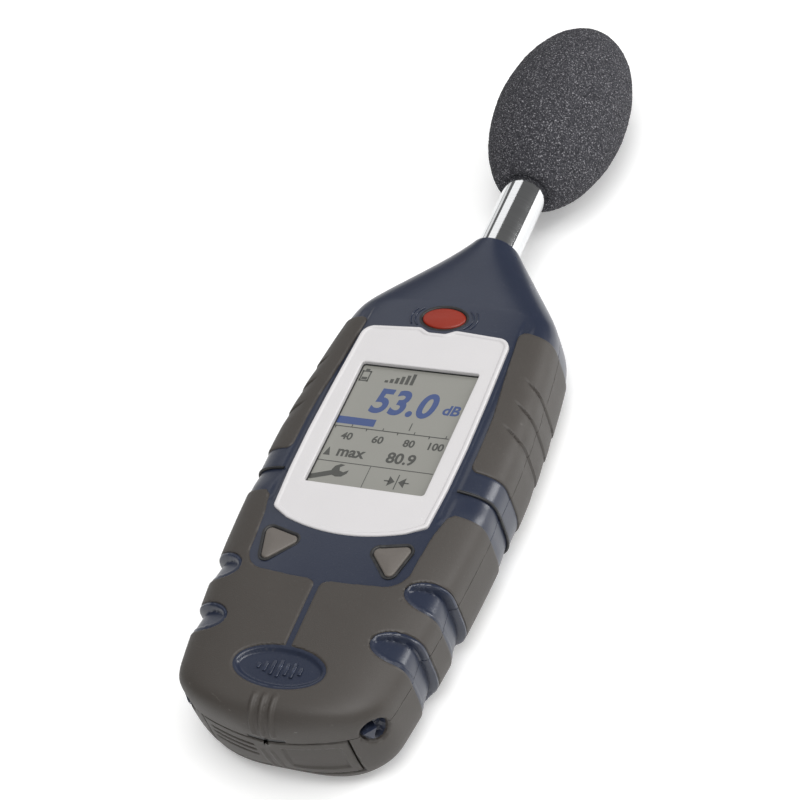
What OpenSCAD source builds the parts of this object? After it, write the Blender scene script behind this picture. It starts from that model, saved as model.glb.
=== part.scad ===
// Hand-held sound level meter with a foam windscreen over its microphone.
// The meter lies on its back: X across, Y toward the microphone, Z out of the display.
// The origin is the mouth of the tripod bush, straight behind the display centre.

/* [Case] */
// Greatest width over the side grips
case_w = 71; // [60:0.5:86]
// Thickness over the display surround
case_t = 31; // [30:0.5:37]
// Height of the microphone axis and of the parting line above the back
axis_h = 20; // [20:0.5:23]
// Display centre to the tail end
tail_len = 95; // [88:1:114]
// Display centre to the end of the nose
nose_len = 73; // [70:1:88]
// Wall of the two case halves
wall = 2.4; // [2.2:0.1:2.8]

/* [Grips] */
// Thickness of the rubber that is moulded over the case
grip_t = 1.6; // [1.2:0.1:1.8]
// How far the rubber stands proud of the plastic
grip_proud = 0.4; // [0.2:0.1:0.6]
// Width of a finger recess
recess_w = 8.5; // [6:0.5:10]

/* [Display] */
// Visible width of the display
lcd_w = 35; // [30:1:38]
// Visible height of the display
lcd_h = 42; // [36:1:44]
// Half width of the display surround at its middle
surround_half_w = 23.3; // [21.5:0.1:24]

/* [Keys] */
// Press travel of every key
key_travel = 0.8; // [0.4:0.1:1]
// Gap round a key
key_gap = 0.35; // [0.25:0.05:0.5]

/* [Microphone] */
// Outer diameter of the stem and of the half inch microphone
stem_d = 12.7; // [10:0.1:13.2]
// Display centre to the microphone grid
mic_tip = 132; // [124:1:150]
// Greatest diameter of the foam windscreen
foam_d = 39; // [32:0.5:39.5]
// Length of the foam windscreen
foam_len = 68; // [58:0.5:82]

/* [Power] */
// Diameter of one battery cell
cell_d = 14.2; // [13.5:0.1:14.5]
// Length of one battery cell
cell_len = 50.5; // [44:0.5:50.5]

/* [Tripod thread] */
// Inner wall diameter of the tripod bush
bush_bore_d = 5.2; // [4.8:0.1:6]
// Outer diameter of the tripod bush
bush_d = 10; // [9:0.5:12]

/* [Hidden] */
$fn = 48;

// Places along the meter
half_w = case_w / 2;
front_h = case_t - axis_h;
back_h = axis_h - grip_proud;
widest_y = -8;
shoulder_y = nose_len - 28.5;
tail_round = 15;
edge_round = 7;
collar_r = stem_d / 2 + 1.45;
shoulder_drop = 0.12 * half_w;
tail_drop = 0.19 * half_w;
tail_reach = tail_len - 17;
fall_start = 40;
fall_reach = tail_len - 45;
skin = grip_proud;
seat = grip_t + skin;
inside = seat + wall - grip_t + 0.4;
split_gap = 0.1;
fit_gap = 0.02;
door_gap = 0.35;
front_power = 3.8;
back_power = 4.4;
arc_steps = 14;

// Grip and recess places along Y
grip_top = 38;
grip_end = -10.5;
lower_top = -24.5;
recess_a_y = -tail_len + 43.5;
recess_b_y = -tail_len + 27.5;
rib_proud = 0.45;
badge_y = -tail_len + 15.7;
badge_a = 12.9;
badge_b = 6.1;
strip_w = 1.4;

// Heights of the display stack and the keys
shell_top = case_t - skin;
window_seat = case_t - 1.5;
window_t = 1.1;
inside_top = case_t - inside;
lcd_t = 1.6;
lcd_top = ceiling(lcd_w / 2 + 1.8, lcd_h / 2 + 3) - 0.1;
board_z = axis_h - 0.4;
board_t = 1.6;
board_top = board_z + board_t;
power_y = 39;
power_a = 6.4;
power_b = 3.7;
key_mid = [16.5, -41.5];
key_top = case_t + 0.2;
flange_top = ceiling(key_mid[0] + 5.6, key_mid[1] - 5) - 0.1;
flange_t = 1.1;
key_base = flange_top - flange_t;

// Microphone
stem_r = stem_d / 2;
stem_wall = 1;
seal_r = stem_r + 0.5;
stem_start = nose_len - 14;
capsule_len = 7;
grid_len = 1.6;
foam_mid = mic_tip - 2.7;
foam_bore_r = stem_r + 0.06;

// Battery bay
cell_pitch = cell_d + 0.5;
bay_half_w = 1.5 * cell_pitch + 0.6;
bay_wall = 1.2;
bay_len = cell_len + 5.6;
bay_end = -tail_len + 13.9;
bay_top = bay_end + bay_len + 2 * bay_wall;
bay_roof = axis_h - 1.6;
cell_z = 3.2 + cell_d / 2;
cover_t = 2.1;
cover_z = 2 * grip_proud;
cover_half_w = bay_half_w - 0.8;
cover_pivot_r = 0.95;
cover_pivot_y = bay_top - 1;

// Connector bay
port_half_w = 20.5;
port_low = 6.2;
port_high = axis_h - 0.4;
port_depth = 1.9;
port_board_z = 7.4;
socket_y = -tail_len + 5;
socket_len = 8.5;
flap_line_y = -tail_len + 1.6;
flap_bead_r = 0.3;

// Tripod bush, screws and strap anchors
bush_len = 10;
bush_depth = 8.5;
land_r = 13;
screw_at = [[half_w - 9.2, bay_top + 5.1], [half_w - 17, shoulder_y]];
screw_seat_z = 5;
screw_head_top = screw_seat_z + 2.4;
boss_r = 3.5;
anchor_at = [22.9, -tail_len + 12];
anchor_turn = -42;

// ---- Case form -------------------------------------------------------------

function soft_min(a, b, k) = -k * ln(exp(-a / k) + exp(-b / k));
function blend(t) = t <= 0 ? 0 : t >= 1 ? 1 : t * t * (3 - 2 * t);

// Half width of the barrel-shaped plan, before the nose and the tail are formed
function barrel(y) = y > widest_y
    ? half_w - shoulder_drop * pow((y - widest_y) / 50, 2)
    : half_w - tail_drop * pow((y - widest_y) / tail_reach, 2);

// Straight flank of the nose, from the shoulder down to the collar
function nose_flank(y) =
    collar_r + max(0, nose_len - y) * (barrel(shoulder_y) - collar_r) / (nose_len - shoulder_y);

function tail_part(y, g) = max(0, -(tail_len - tail_round) - y) / (tail_round + g);
function edge_part(y, g) = max(0, -(tail_len - edge_round) - y) / (edge_round + g);

function plan_w(y, g) =
    (soft_min(barrel(y), nose_flank(y), 1.2) + g) * pow(1 - pow(tail_part(y, g), 2.8), 1 / 1.5);

function side_h(y, g, full) =
    (full + (collar_r - full) * max(0, y - shoulder_y) / (nose_len - shoulder_y) + g)
    * pow(1 - pow(edge_part(y, g), 2.4), 1 / 2.2);

// The front falls a little toward the tail
function tail_fall(y) = 1.4 * pow(max(0, -y - fall_start) / fall_reach, 2);

function section_power(y, top) =
    let(p = top ? front_power : back_power)
    p + (2 - p) * blend((y - shoulder_y + 6) / (nose_len - shoulder_y + 6));

// Height of the front half's inner surface, x from the middle of the case
function ceiling(x, y) =
    let(h = side_h(y, -inside, front_h - tail_fall(y)) - split_gap)
    axis_h + split_gap + h * pow(1 - pow(x / plan_w(y, -inside), front_power), 1 / front_power);

function section_points(y, g, top) =
    let(
        w = plan_w(y, g),
        h = side_h(y, g, top ? front_h - tail_fall(y) : back_h) - split_gap,
        p = section_power(y, top),
        way = top ? 1 : -1
    )
    [for (i = [0:arc_steps])
        let(a = 180 * i / arc_steps, c = i == arc_steps / 2 ? 0 : cos(a), s = max(0, sin(a)))
        [w * sign(c) * pow(abs(c), 2 / p), y, axis_h + way * (split_gap + h * pow(s, 2 / p))]];

function section_places(g, nose_end) = concat(
    [for (a = [80:-12:8]) -(tail_len - tail_round) - (tail_round + g) * sin(a)],
    [for (i = [0:8]) -(tail_len - tail_round) + i * (shoulder_y - 6 + tail_len - tail_round) / 8],
    [for (i = [1:8]) shoulder_y - 6 + i * (nose_end - shoulder_y + 6) / 8]
);

// One half of the case, solid, grown by g on every side and cut flat at the parting line
module half_form(g, top, nose_end = nose_len) {
    places = section_places(g, nose_end);
    ring = arc_steps + 1;
    last = len(places) - 1;
    points = [for (y = places) each section_points(y, g, top)];
    sides = [for (j = [0:last - 1]) for (i = [0:arc_steps - 1])
        let(a = j * ring + i)
        each [[a, a + 1, a + ring], [a + 1, a + ring + 1, a + ring]]];
    base = [for (j = [0:last - 1])
        let(a = j * ring)
        [a, a + ring, a + ring + arc_steps, a + arc_steps]];
    ends = [
        [for (i = [arc_steps:-1:0]) i],
        [for (i = [0:arc_steps]) last * ring + i]
    ];
    faces = concat(sides, base, ends);
    turned = [for (f = faces) [for (i = [len(f) - 1:-1:0]) f[i]]];
    polyhedron(points, top ? faces : turned, convexity = 6);
}

// ---- Outlines --------------------------------------------------------------

module both_sides() {
    children();
    mirror([1, 0, 0]) children();
}

function ellipse(a, b, steps = 40) =
    [for (i = [0:steps - 1]) let(t = 360 * i / steps) [a * cos(t), b * sin(t)]];

// Corner of radius r about c, from angle a0 to a1
function corner(c, r, a0, a1, steps = 6) =
    [for (i = [0:steps]) let(a = a0 + (a1 - a0) * i / steps) c + r * [cos(a), sin(a)]];

// Upper grip, right hand side
module upper_grip_outline() {
    polygon(concat(
        [[half_w + 6, grip_end]],
        [[half_w + 6, grip_top]],
        corner([25.4, grip_top - 2.4], 2.4, 90, 180),
        [[24.4, 21], [25.9, 8], [26.2, 0]],
        corner([28.4, grip_end + 2.2], 2.2, 180, 270)
    ));
}

// Blue key panel that the lower overmould leaves bare, right hand half
function key_panel_edge() = concat(
    [[27.6, lower_top], [25.9, lower_top - 1.6], [24.3, -32], [23.3, -41]],
    corner([16.6, -43.4], 6.6, -5, -90, 8),
    [[8.6, -50.7], [0, -51.2]]
);

// Lens shaped end of a finger recess, opening past the side of the case
module recess_outline(tip_x, y, reach = 8) {
    half = recess_w / 2;
    polygon(concat(
        [for (i = [0:8]) let(a = 90 + 90 * i / 8) [tip_x + reach + reach * cos(a), y + half * sin(a)]],
        [for (i = [1:8]) let(a = 180 + 90 * i / 8) [tip_x + reach + reach * cos(a), y + half * 0.9 * sin(a)]],
        [[half_w + 8, y - half * 0.9]],
        [[half_w + 8, y + half]]
    ));
}

module lower_half_outline() {
    difference() {
        polygon(concat(
            [[half_w + 6, lower_top]],
            key_panel_edge(),
            [[0, -tail_len - 6], [half_w + 6, -tail_len - 6]]
        ));
        recess_outline(23.6, recess_a_y);
        recess_outline(20.6, recess_b_y);
    }
}

module front_lower_outline() {
    difference() {
        both_sides() lower_half_outline();
        translate([0, badge_y]) polygon(ellipse(badge_a, badge_b));
        translate([-strip_w / 2, badge_y]) square([strip_w, -badge_y - 50]);
    }
}

// The rear overmould leaves the battery cover and its margin bare
module rear_lower_outline() {
    margin = bay_half_w + 2.4;
    difference() {
        both_sides() difference() {
            translate([0, -tail_len - 6]) square([half_w + 8, tail_len + 6 + lower_top]);
            recess_outline(margin + 1.6, recess_a_y, 3);
            recess_outline(margin + 1.6, recess_b_y, 3);
        }
        translate([-margin, bay_end - 2]) square([2 * margin, 80]);
    }
}

// Display surround: bowed sides, curved foot and a scallop under the power button
module surround_outline(g = 0) {
    w = surround_half_w + g;
    top = 34.9 + g;
    foot = 36.5 + g;
    half = concat(
        [for (i = [0:4]) let(x = 1.45 * i) [x, top - 1.5 * blend((5.8 - x) / 3.8)]],
        corner([w - 4.9, top - 4.7], 3.8, 84, 8),
        [[w - 0.4, 12], [w, -4], [w - 0.2, -18]],
        corner([w - 2.5, -29.6 - g], 1.6, -8, -62, 4),
        [for (i = [1:6]) let(a = 1 - i / 6) [(w - 5) * a, -foot + 3.4 * a * a]]
    );
    polygon(concat(half, [for (i = [len(half) - 2:-1:1]) [-half[i][0], half[i][1]]]));
}

// Soft key: a triangle with rounded corners and slightly bowed sides, right hand side
module key_outline(g = 0) {
    r = 1.5 + g;
    polygon(concat(
        corner([12.6, -40.2], r, 85, 215),
        corner([17.7, -45.4], r, 230, 350),
        corner([19.4, -38.7], r, -10, 100)
    ));
}

module power_outline(g = 0) {
    translate([0, power_y]) polygon(ellipse(power_a + g, power_b + g));
}

module plate(z, t) {
    translate([0, 0, z]) linear_extrude(t) children();
}

// ---- Case halves -----------------------------------------------------------

module half_space(top) {
    low = top ? axis_h + split_gap : -10;
    high = top ? axis_h + 40 : axis_h - split_gap;
    translate([-80, -150, low]) cube([160, 320, high - low]);
}

// Round bore for the stem and the wider seat of its seal
module stem_bore() {
    translate([0, stem_start - 3, axis_h]) rotate([-90, 0, 0]) cylinder(r = stem_r + 0.1, h = 40);
    translate([0, nose_len - 1.7, axis_h]) rotate([-90, 0, 0]) cylinder(r = seal_r + 0.05, h = 10);
}

module anchor_place() {
    translate([anchor_at[0], anchor_at[1], axis_h]) rotate([0, 0, anchor_turn]) rotate([0, 90, 0]) children();
}

// Opening behind the socket flap
module port_mouth() {
    translate([-port_half_w - door_gap, -tail_len - 5, port_low - door_gap])
        cube([2 * (port_half_w + door_gap), 16, axis_h]);
}

module anchor_cup(top) {
    intersection() {
        both_sides() anchor_place() cylinder(r = 5, h = 4.6);
        half_space(top);
    }
}

module anchor_holes() {
    both_sides() anchor_place() translate([0, 0, 1]) cylinder(r = 3.9, h = 12);
}

// Tubes that the screws run in, from each wall to the parting line
module screw_bosses(top) {
    intersection() {
        both_sides() for (p = screw_at)
            translate([p[0], p[1], top ? axis_h + split_gap : 0]) cylinder(r = boss_r, h = case_t);
        half_form(-skin - 1, top);
    }
}

// Clear holes for the screws and wells for their heads, sunk from the back
module screw_wells() {
    both_sides() for (p = screw_at) translate([p[0], p[1], -1]) {
        cylinder(r = 1.7, h = 30);
        cylinder(r = 2.9, h = screw_head_top + 1);
    }
}

module front_shell() {
    color("#3a4257") difference() {
        union() {
            difference() {
                half_form(-skin, true);
                half_form(-inside, true, nose_len - 10);
            }
            screw_bosses(true);
            anchor_cup(true);
        }
        difference() {
            plate(axis_h - 1, 20) {
                both_sides() upper_grip_outline();
                front_lower_outline();
                both_sides() recess_outline(23.6, recess_a_y);
                both_sides() recess_outline(20.6, recess_b_y);
            }
            half_form(-seat, true);
        }
        plate(window_seat, 8) surround_outline(0.15);
        translate([-lcd_w / 2 - 1, -lcd_h / 2 - 1, axis_h]) cube([lcd_w + 2, lcd_h + 2, 20]);
        plate(axis_h, 20) power_outline(key_gap);
        plate(axis_h, 20) both_sides() key_outline(key_gap);
        plate(shell_top - tail_fall(badge_y) - 0.8, 5)
            translate([0, badge_y]) polygon(ellipse(badge_a - 1.1, badge_b - 1));
        stem_bore();
        anchor_holes();
        both_sides() for (p = screw_at)
            translate([p[0], p[1], axis_h - 1]) cylinder(r = 1.3, h = inside_top - axis_h - 1.6);
    }
}

module rear_shell() {
    color("#3a4257") difference() {
        union() {
            difference() {
                half_form(-skin, false);
                half_form(-inside, false, nose_len - 10);
            }
            screw_bosses(false);
            cylinder(r = land_r, h = 3);
            cylinder(r = bush_d / 2 + 2.4, h = bush_len + 1.6);
            anchor_cup(false);
        }
        difference() {
            plate(-1, axis_h + 2) {
                both_sides() translate([24, grip_end]) square([20, grip_top - grip_end]);
                rear_lower_outline();
                both_sides() recess_outline(bay_half_w + 4, recess_a_y, 3);
                both_sides() recess_outline(bay_half_w + 4, recess_b_y, 3);
            }
            half_form(-seat, false);
        }
        translate([0, 0, -1]) cylinder(r = bush_d / 2 + fit_gap, h = bush_len + 1 + fit_gap);
        translate([-cover_half_w - door_gap, bay_end + bay_wall, -1])
            cube([2 * (cover_half_w + door_gap), bay_top - bay_end - bay_wall + 0.6, 9]);
        port_mouth();
        stem_bore();
        anchor_holes();
        screw_wells();
    }
}

// ---- Rubber ----------------------------------------------------------------

// Skin of rubber between the outer form and the seat cut in the case half
module rubber_skin(top) {
    difference() {
        half_form(0, top);
        half_form(-seat + fit_gap, top);
    }
}

module grip_grooves() {
    for (y = [20, 12, 3.5])
        translate([29, y - 0.35, axis_h - 12]) cube([12, 0.7, 22]);
}

module front_grip() {
    difference() {
        intersection() {
            rubber_skin(true);
            plate(axis_h, 20) upper_grip_outline();
        }
        difference() {
            grip_grooves();
            half_form(-0.5, true);
        }
    }
}

module rear_grip() {
    difference() {
        intersection() {
            rubber_skin(false);
            plate(-1, axis_h + 1) translate([24 + fit_gap, grip_end]) square([20, grip_top - grip_end]);
        }
        difference() {
            grip_grooves();
            half_form(-0.5, false);
        }
    }
}

module grip_front_right() {
    color("#6a665e") front_grip();
}

module grip_front_left() {
    color("#6a665e") mirror([1, 0, 0]) front_grip();
}

module grip_rear_right() {
    color("#6a665e") rear_grip();
}

module grip_rear_left() {
    color("#6a665e") mirror([1, 0, 0]) rear_grip();
}

// Three thumb ribs roll over the tail edge above the nail slot
module overmould_front() {
    color("#5f5b54") difference() {
        union() {
            intersection() {
                rubber_skin(true);
                plate(axis_h, 20) front_lower_outline();
            }
            intersection() {
                difference() {
                    half_form(rib_proud, true);
                    half_form(-rib_proud, true);
                }
                for (x = [-2.8, 0, 2.8])
                    translate([x - 0.5, -tail_len - 4, axis_h + 1.2]) cube([1, 12.5, 12]);
            }
        }
        anchor_holes();
        translate([-5, -tail_len - 4, axis_h - 1]) cube([10, 6, 2]);
    }
}

module overmould_rear() {
    color("#5f5b54") difference() {
        union() {
            intersection() {
                rubber_skin(false);
                plate(-1, axis_h + 1) rear_lower_outline();
            }
            plate(0, 1.2) translate([-16, -tail_len + 9]) square([32, 2.8]);
        }
        anchor_holes();
        port_mouth();
        screw_wells();
    }
}

// ---- Display ---------------------------------------------------------------

module display_surround() {
    color("#e4e0dd") difference() {
        plate(window_seat + fit_gap, case_t - window_seat - fit_gap) surround_outline();
        translate([-lcd_w / 2, -lcd_h / 2, axis_h]) cube([lcd_w, lcd_h, 20]);
    }
}

module display_window() {
    color("#aeb6a4", 0.6) translate([-lcd_w / 2 - 0.8, -lcd_h / 2 - 0.8, window_seat - window_t])
        cube([lcd_w + 1.6, lcd_h + 1.6, window_t]);
}

module lcd_panel() {
    color("#8f968a") translate([-lcd_w / 2 - 1.8, -lcd_h / 2 - 3, lcd_top - lcd_t])
        cube([lcd_w + 3.6, lcd_h + 6, lcd_t]);
}

module lcd_backlight() {
    color("#e8ece6") translate([-lcd_w / 2 - 1.2, -lcd_h / 2 - 2, lcd_top - lcd_t - 1.6])
        cube([lcd_w + 2.4, lcd_h + 4, 1.5]);
}

module lcd_frame() {
    frame_z = board_top + 0.05;
    frame_t = lcd_top - lcd_t - frame_z - 0.05;
    color("#d8d8d4") difference() {
        translate([-lcd_w / 2 - 2, -lcd_h / 2 - 3.2, frame_z]) cube([lcd_w + 4, lcd_h + 6.4, frame_t]);
        translate([-lcd_w / 2 - 1.3, -lcd_h / 2 - 2.1, frame_z + frame_t - 1.7])
            cube([lcd_w + 2.6, lcd_h + 4.2, 3]);
        translate([-lcd_w / 2 + 1, -lcd_h / 2 + 1, frame_z - 1]) cube([lcd_w - 2, lcd_h - 2, frame_t + 2]);
    }
}

// ---- Electronics -----------------------------------------------------------

module main_board() {
    color("#2f6a48") plate(board_z, board_t) {
        translate([-22.5, -50]) square([45, 86]);
        translate([-13.5, 30]) square([27, 16]);
    }
}

module board_chips() {
    color("#2b2b2e") {
        translate([-7, -12, board_top + 0.05]) cube([14, 14, 1.4]);
        translate([6, 6, board_top + 0.05]) cube([6, 8, 1.2]);
        translate([-13, 7, board_top + 0.05]) cube([7, 5, 1.2]);
        translate([-4, -47, board_top + 0.05]) cube([8, 5, 1.3]);
    }
}

module shield_can() {
    color("#c8c9cc") difference() {
        translate([-11, 8, board_z - 3.05]) cube([22, 20, 3]);
        translate([-10.6, 8.4, board_z - 2.65]) cube([21.2, 19.2, 4]);
    }
}

// One body and plunger under each key
module tact_switch() {
    travel_top = key_base - key_travel - 0.2;
    translate([-3, -2.8, board_top + 0.02]) cube([6, 5.6, travel_top - board_top - 1]);
    translate([0, 0, travel_top - 1]) cylinder(r = 1.5, h = 1);
}

module tact_switches() {
    color("#3c3c40") {
        translate([0, power_y, 0]) tact_switch();
        both_sides() translate([key_mid[0], key_mid[1], 0]) tact_switch();
    }
}

// ---- Keys ------------------------------------------------------------------

module power_button() {
    color("#a83c25") {
        plate(key_base, key_top - key_base - 0.5) power_outline();
        plate(key_top - 0.5, 0.5) power_outline(-0.5);
        plate(key_base, flange_t) power_outline(1);
    }
}

module soft_key() {
    plate(key_base, key_top - key_base - 0.4) key_outline();
    plate(key_top - 0.4, 0.4) key_outline(-0.4);
    plate(key_base, flange_t) key_outline(0.9);
}

module soft_key_right() {
    color("#8c877c") soft_key();
}

module soft_key_left() {
    color("#8c877c") mirror([1, 0, 0]) soft_key();
}

// ---- Microphone ------------------------------------------------------------

module along_stem(y) {
    translate([0, y, axis_h]) rotate([-90, 0, 0]) children();
}

module tube(outer, inner, len) {
    difference() {
        cylinder(r = outer, h = len);
        translate([0, 0, -1]) cylinder(r = inner, h = len + 2);
    }
}

module mic_stem() {
    color("#d6d8da") along_stem(stem_start)
        tube(stem_r, stem_r - stem_wall, mic_tip - grid_len - capsule_len - stem_start - 0.1);
}

module stem_seal() {
    color("#26282c") along_stem(nose_len - 1.6) tube(seal_r, stem_r + fit_gap, 1.6);
}

module stem_socket() {
    color("#7d8187") along_stem(stem_start - 2.4) difference() {
        cylinder(r = stem_r + 0.05, h = 2.3);
        translate([0, 0, -1]) cylinder(r = 2, h = 5);
    }
}

module preamp_board() {
    color("#2f6a48") translate([-4, nose_len - 8, axis_h - 0.5]) cube([8, 46, 1]);
}

module mic_capsule() {
    color("#b9bcbf") along_stem(mic_tip - grid_len - capsule_len)
        cylinder(r = stem_r, h = capsule_len - 0.05);
}

// Slotted protection grid over the diaphragm
module mic_grid() {
    color("#c9cbcd") along_stem(mic_tip - grid_len) difference() {
        cylinder(r = stem_r, h = grid_len);
        translate([0, 0, -0.5]) cylinder(r = stem_r - 0.8, h = grid_len);
        for (i = [0:7]) rotate([0, 0, 45 * i]) translate([3.2, 0, -1]) cylinder(r = 0.6, h = 5);
        translate([0, 0, -1]) cylinder(r = 0.8, h = 5);
    }
}

// Egg-shaped foam ball with a blind bore that slides over the stem
module windscreen() {
    half = foam_len / 2;
    base_r = stem_r + 2.2;
    base_y = -half * sqrt(1 - pow(base_r / (foam_d / 2), 2));
    first = acos(base_y / half);
    steps = 22;
    color("#3b3c40") along_stem(foam_mid) difference() {
        rotate_extrude($fn = 64) polygon(concat(
            [[0, base_y]],
            [for (i = [0:steps]) let(a = first * (1 - i / steps)) [foam_d / 2 * sin(a), half * cos(a)]]
        ));
        translate([0, 0, -half - 1]) cylinder(r = foam_bore_r, h = half + 1 + mic_tip - foam_mid + 0.4);
    }
}

// ---- Power -----------------------------------------------------------------

module battery_tray() {
    outer_w = 2 * (bay_half_w + bay_wall);
    color("#33363c") difference() {
        intersection() {
            translate([-outer_w / 2, bay_end, 3.1]) cube([outer_w, bay_top - bay_end, bay_roof - 3.1]);
            half_form(-inside - 0.05, false);
        }
        translate([-bay_half_w, bay_end + bay_wall, 3]) cube([2 * bay_half_w, bay_len, bay_roof - 3.8]);
    }
}

module battery_cells() {
    color("#c9a64a") for (i = [-1:1])
        translate([i * cell_pitch, bay_end + bay_wall + 4.5, cell_z]) rotate([-90, 0, 0]) {
            cylinder(r = cell_d / 2, h = cell_len - 1);
            cylinder(r = 2.6, h = cell_len);
        }
}

module battery_springs() {
    color("#c7c9cb") for (i = [-1:1])
        translate([i * cell_pitch, bay_end + bay_wall + 0.55, cell_z]) rotate([-90, 0, 0])
            cylinder(r1 = 4.6, r2 = 2.4, h = 3.9);
}

module battery_plates() {
    color("#c7c9cb") for (y = [bay_end + bay_wall + 0.05, bay_top - bay_wall - 0.5])
        translate([-bay_half_w + 1, y, 5]) cube([2 * bay_half_w - 2, 0.45, 10]);
}

// Door plate that turns on the barrel at its upper edge and snaps shut at the other
module battery_cover() {
    far = bay_end + bay_wall + door_gap;
    color("#343b50") difference() {
        union() {
            intersection() {
                translate([-cover_half_w, far, cover_z - 0.2])
                    cube([2 * cover_half_w, cover_pivot_y - far, cover_t + 0.2]);
                half_form(-skin, false);
            }
            translate([-cover_half_w, cover_pivot_y, cover_z + cover_t / 2])
                rotate([0, 90, 0]) cylinder(r = cover_pivot_r, h = 2 * cover_half_w);
        }
        for (i = [0:4]) translate([-9, far + 5 + 2.4 * i, cover_z - 1]) cube([18, 1, 1.5]);
    }
}

// ---- Fittings --------------------------------------------------------------

module tripod_bush() {
    color("#b08d4f") difference() {
        cylinder(r = bush_d / 2, h = bush_len);
        translate([0, 0, -1]) cylinder(d = bush_bore_d, h = bush_depth + 1);
    }
}

module case_screws() {
    color("#9a9da1") both_sides() for (p = screw_at) translate([p[0], p[1], screw_seat_z]) difference() {
        union() {
            translate([0, 0, 0.4]) cylinder(r = 2.6, h = 2);
            translate([0, 0, 2.4]) cylinder(r = 1.25, h = axis_h - screw_head_top + 5);
        }
        translate([0, 0, -1]) cylinder(r = 1.1, h = 2.4, $fn = 6);
    }
}

// Rubber flap over the sockets, with two sunk panels and the bead that it bends on
module connector_cover() {
    color("#54514b") difference() {
        union() {
            intersection() {
                difference() {
                    half_form(0, false);
                    half_form(-port_depth, false);
                }
                translate([-port_half_w, -tail_len - 2, port_low])
                    cube([2 * port_half_w, 12, port_high - port_low]);
            }
            translate([-5, flap_line_y, port_low]) rotate([0, 90, 0]) cylinder(r = flap_bead_r, h = 10);
        }
        difference() {
            for (x = [-17, 3]) translate([x, -tail_len - 2, port_low + 2.6])
                cube([14, 14, port_high - port_low - 5]);
            half_form(-0.5, false);
        }
    }
}

module connector_board() {
    color("#2f6a48") translate([-16.5, socket_y + 0.5, port_board_z]) cube([33, socket_len - 0.6, 1.2]);
}

module usb_socket() {
    socket_z = port_board_z + 1.22;
    color("#c3c5c8") translate([-14, socket_y, socket_z]) difference() {
        cube([7.8, socket_len, 4]);
        translate([0.5, -1, 0.5]) cube([6.8, 8, 3]);
    }
}

module power_socket() {
    socket_z = port_board_z + 1.22;
    color("#2c2d31") difference() {
        translate([-3.9, socket_y, socket_z]) cube([7.8, socket_len, 8]);
        translate([0, socket_y - 1, socket_z + 4]) rotate([-90, 0, 0]) cylinder(r = 2.8, h = 8);
    }
}

module output_socket() {
    socket_z = port_board_z + 1.22;
    color("#2c2d31") difference() {
        translate([7, socket_y, socket_z]) cube([7, socket_len, 6.4]);
        translate([10.5, socket_y - 1, socket_z + 3.2]) rotate([-90, 0, 0])
            cylinder(r = 1.75, h = socket_len);
    }
}

// Three-sided posts that a wrist strap loops round
module lanyard_posts() {
    color("#343b50") both_sides() anchor_place() translate([0, 0, 1 + fit_gap])
        linear_extrude(3.2) circle(r = 2.1, $fn = 3);
}

front_shell();
rear_shell();
grip_front_left();
grip_front_right();
grip_rear_left();
grip_rear_right();
overmould_front();
overmould_rear();
display_surround();
display_window();
lcd_panel();
lcd_backlight();
lcd_frame();
main_board();
board_chips();
shield_can();
tact_switches();
power_button();
soft_key_left();
soft_key_right();
mic_stem();
stem_seal();
stem_socket();
preamp_board();
mic_capsule();
mic_grid();
windscreen();
battery_tray();
battery_cells();
battery_springs();
battery_plates();
battery_cover();
tripod_bush();
case_screws();
connector_cover();
connector_board();
usb_socket();
power_socket();
output_socket();
lanyard_posts();
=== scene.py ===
import math

import bmesh
import bpy
import numpy as np
from mathutils import Matrix, Vector, noise


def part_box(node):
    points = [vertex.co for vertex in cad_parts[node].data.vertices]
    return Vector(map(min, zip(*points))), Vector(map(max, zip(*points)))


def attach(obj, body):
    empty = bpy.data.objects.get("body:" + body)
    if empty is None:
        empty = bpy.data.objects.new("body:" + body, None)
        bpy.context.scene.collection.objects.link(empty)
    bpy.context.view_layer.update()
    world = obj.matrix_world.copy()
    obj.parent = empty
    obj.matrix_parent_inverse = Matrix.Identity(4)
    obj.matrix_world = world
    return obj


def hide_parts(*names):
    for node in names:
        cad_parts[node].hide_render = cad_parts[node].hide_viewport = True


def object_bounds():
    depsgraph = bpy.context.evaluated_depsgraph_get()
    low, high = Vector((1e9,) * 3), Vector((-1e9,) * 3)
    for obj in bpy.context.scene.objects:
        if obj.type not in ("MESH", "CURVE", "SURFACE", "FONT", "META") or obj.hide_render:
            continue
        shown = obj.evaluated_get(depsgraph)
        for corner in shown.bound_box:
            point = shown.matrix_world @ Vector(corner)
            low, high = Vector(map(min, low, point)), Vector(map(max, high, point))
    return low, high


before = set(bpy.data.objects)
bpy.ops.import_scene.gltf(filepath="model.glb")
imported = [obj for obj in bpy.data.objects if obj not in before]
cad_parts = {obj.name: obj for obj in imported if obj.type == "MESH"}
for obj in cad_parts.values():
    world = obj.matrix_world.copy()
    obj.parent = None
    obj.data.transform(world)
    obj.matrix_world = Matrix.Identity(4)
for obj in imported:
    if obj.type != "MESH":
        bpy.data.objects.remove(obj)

model_low, model_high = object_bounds()

# ---- Table, camera and lights ------------------------------------------------
# The meter lies on its back on a pale table. A long lens looks down on it from the
# tail's right hand side. An overhead softbox lights it, with a low panel on each side,
# one beyond the tail and one beyond the nose, which draws the bright bands on the stem.

CAMERA_PLACE = (0.28890, -0.35954, 0.50096)
CAMERA_RIGHT = Vector((0.893, 0.361, -0.268))
CAMERA_BACK = Vector((0.437, -0.555, 0.708)).normalized()


def new_finish(name):
    material = bpy.data.materials.new(name)
    material.use_nodes = True
    tree = material.node_tree
    return material, tree, tree.nodes["Principled BSDF"]


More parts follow.
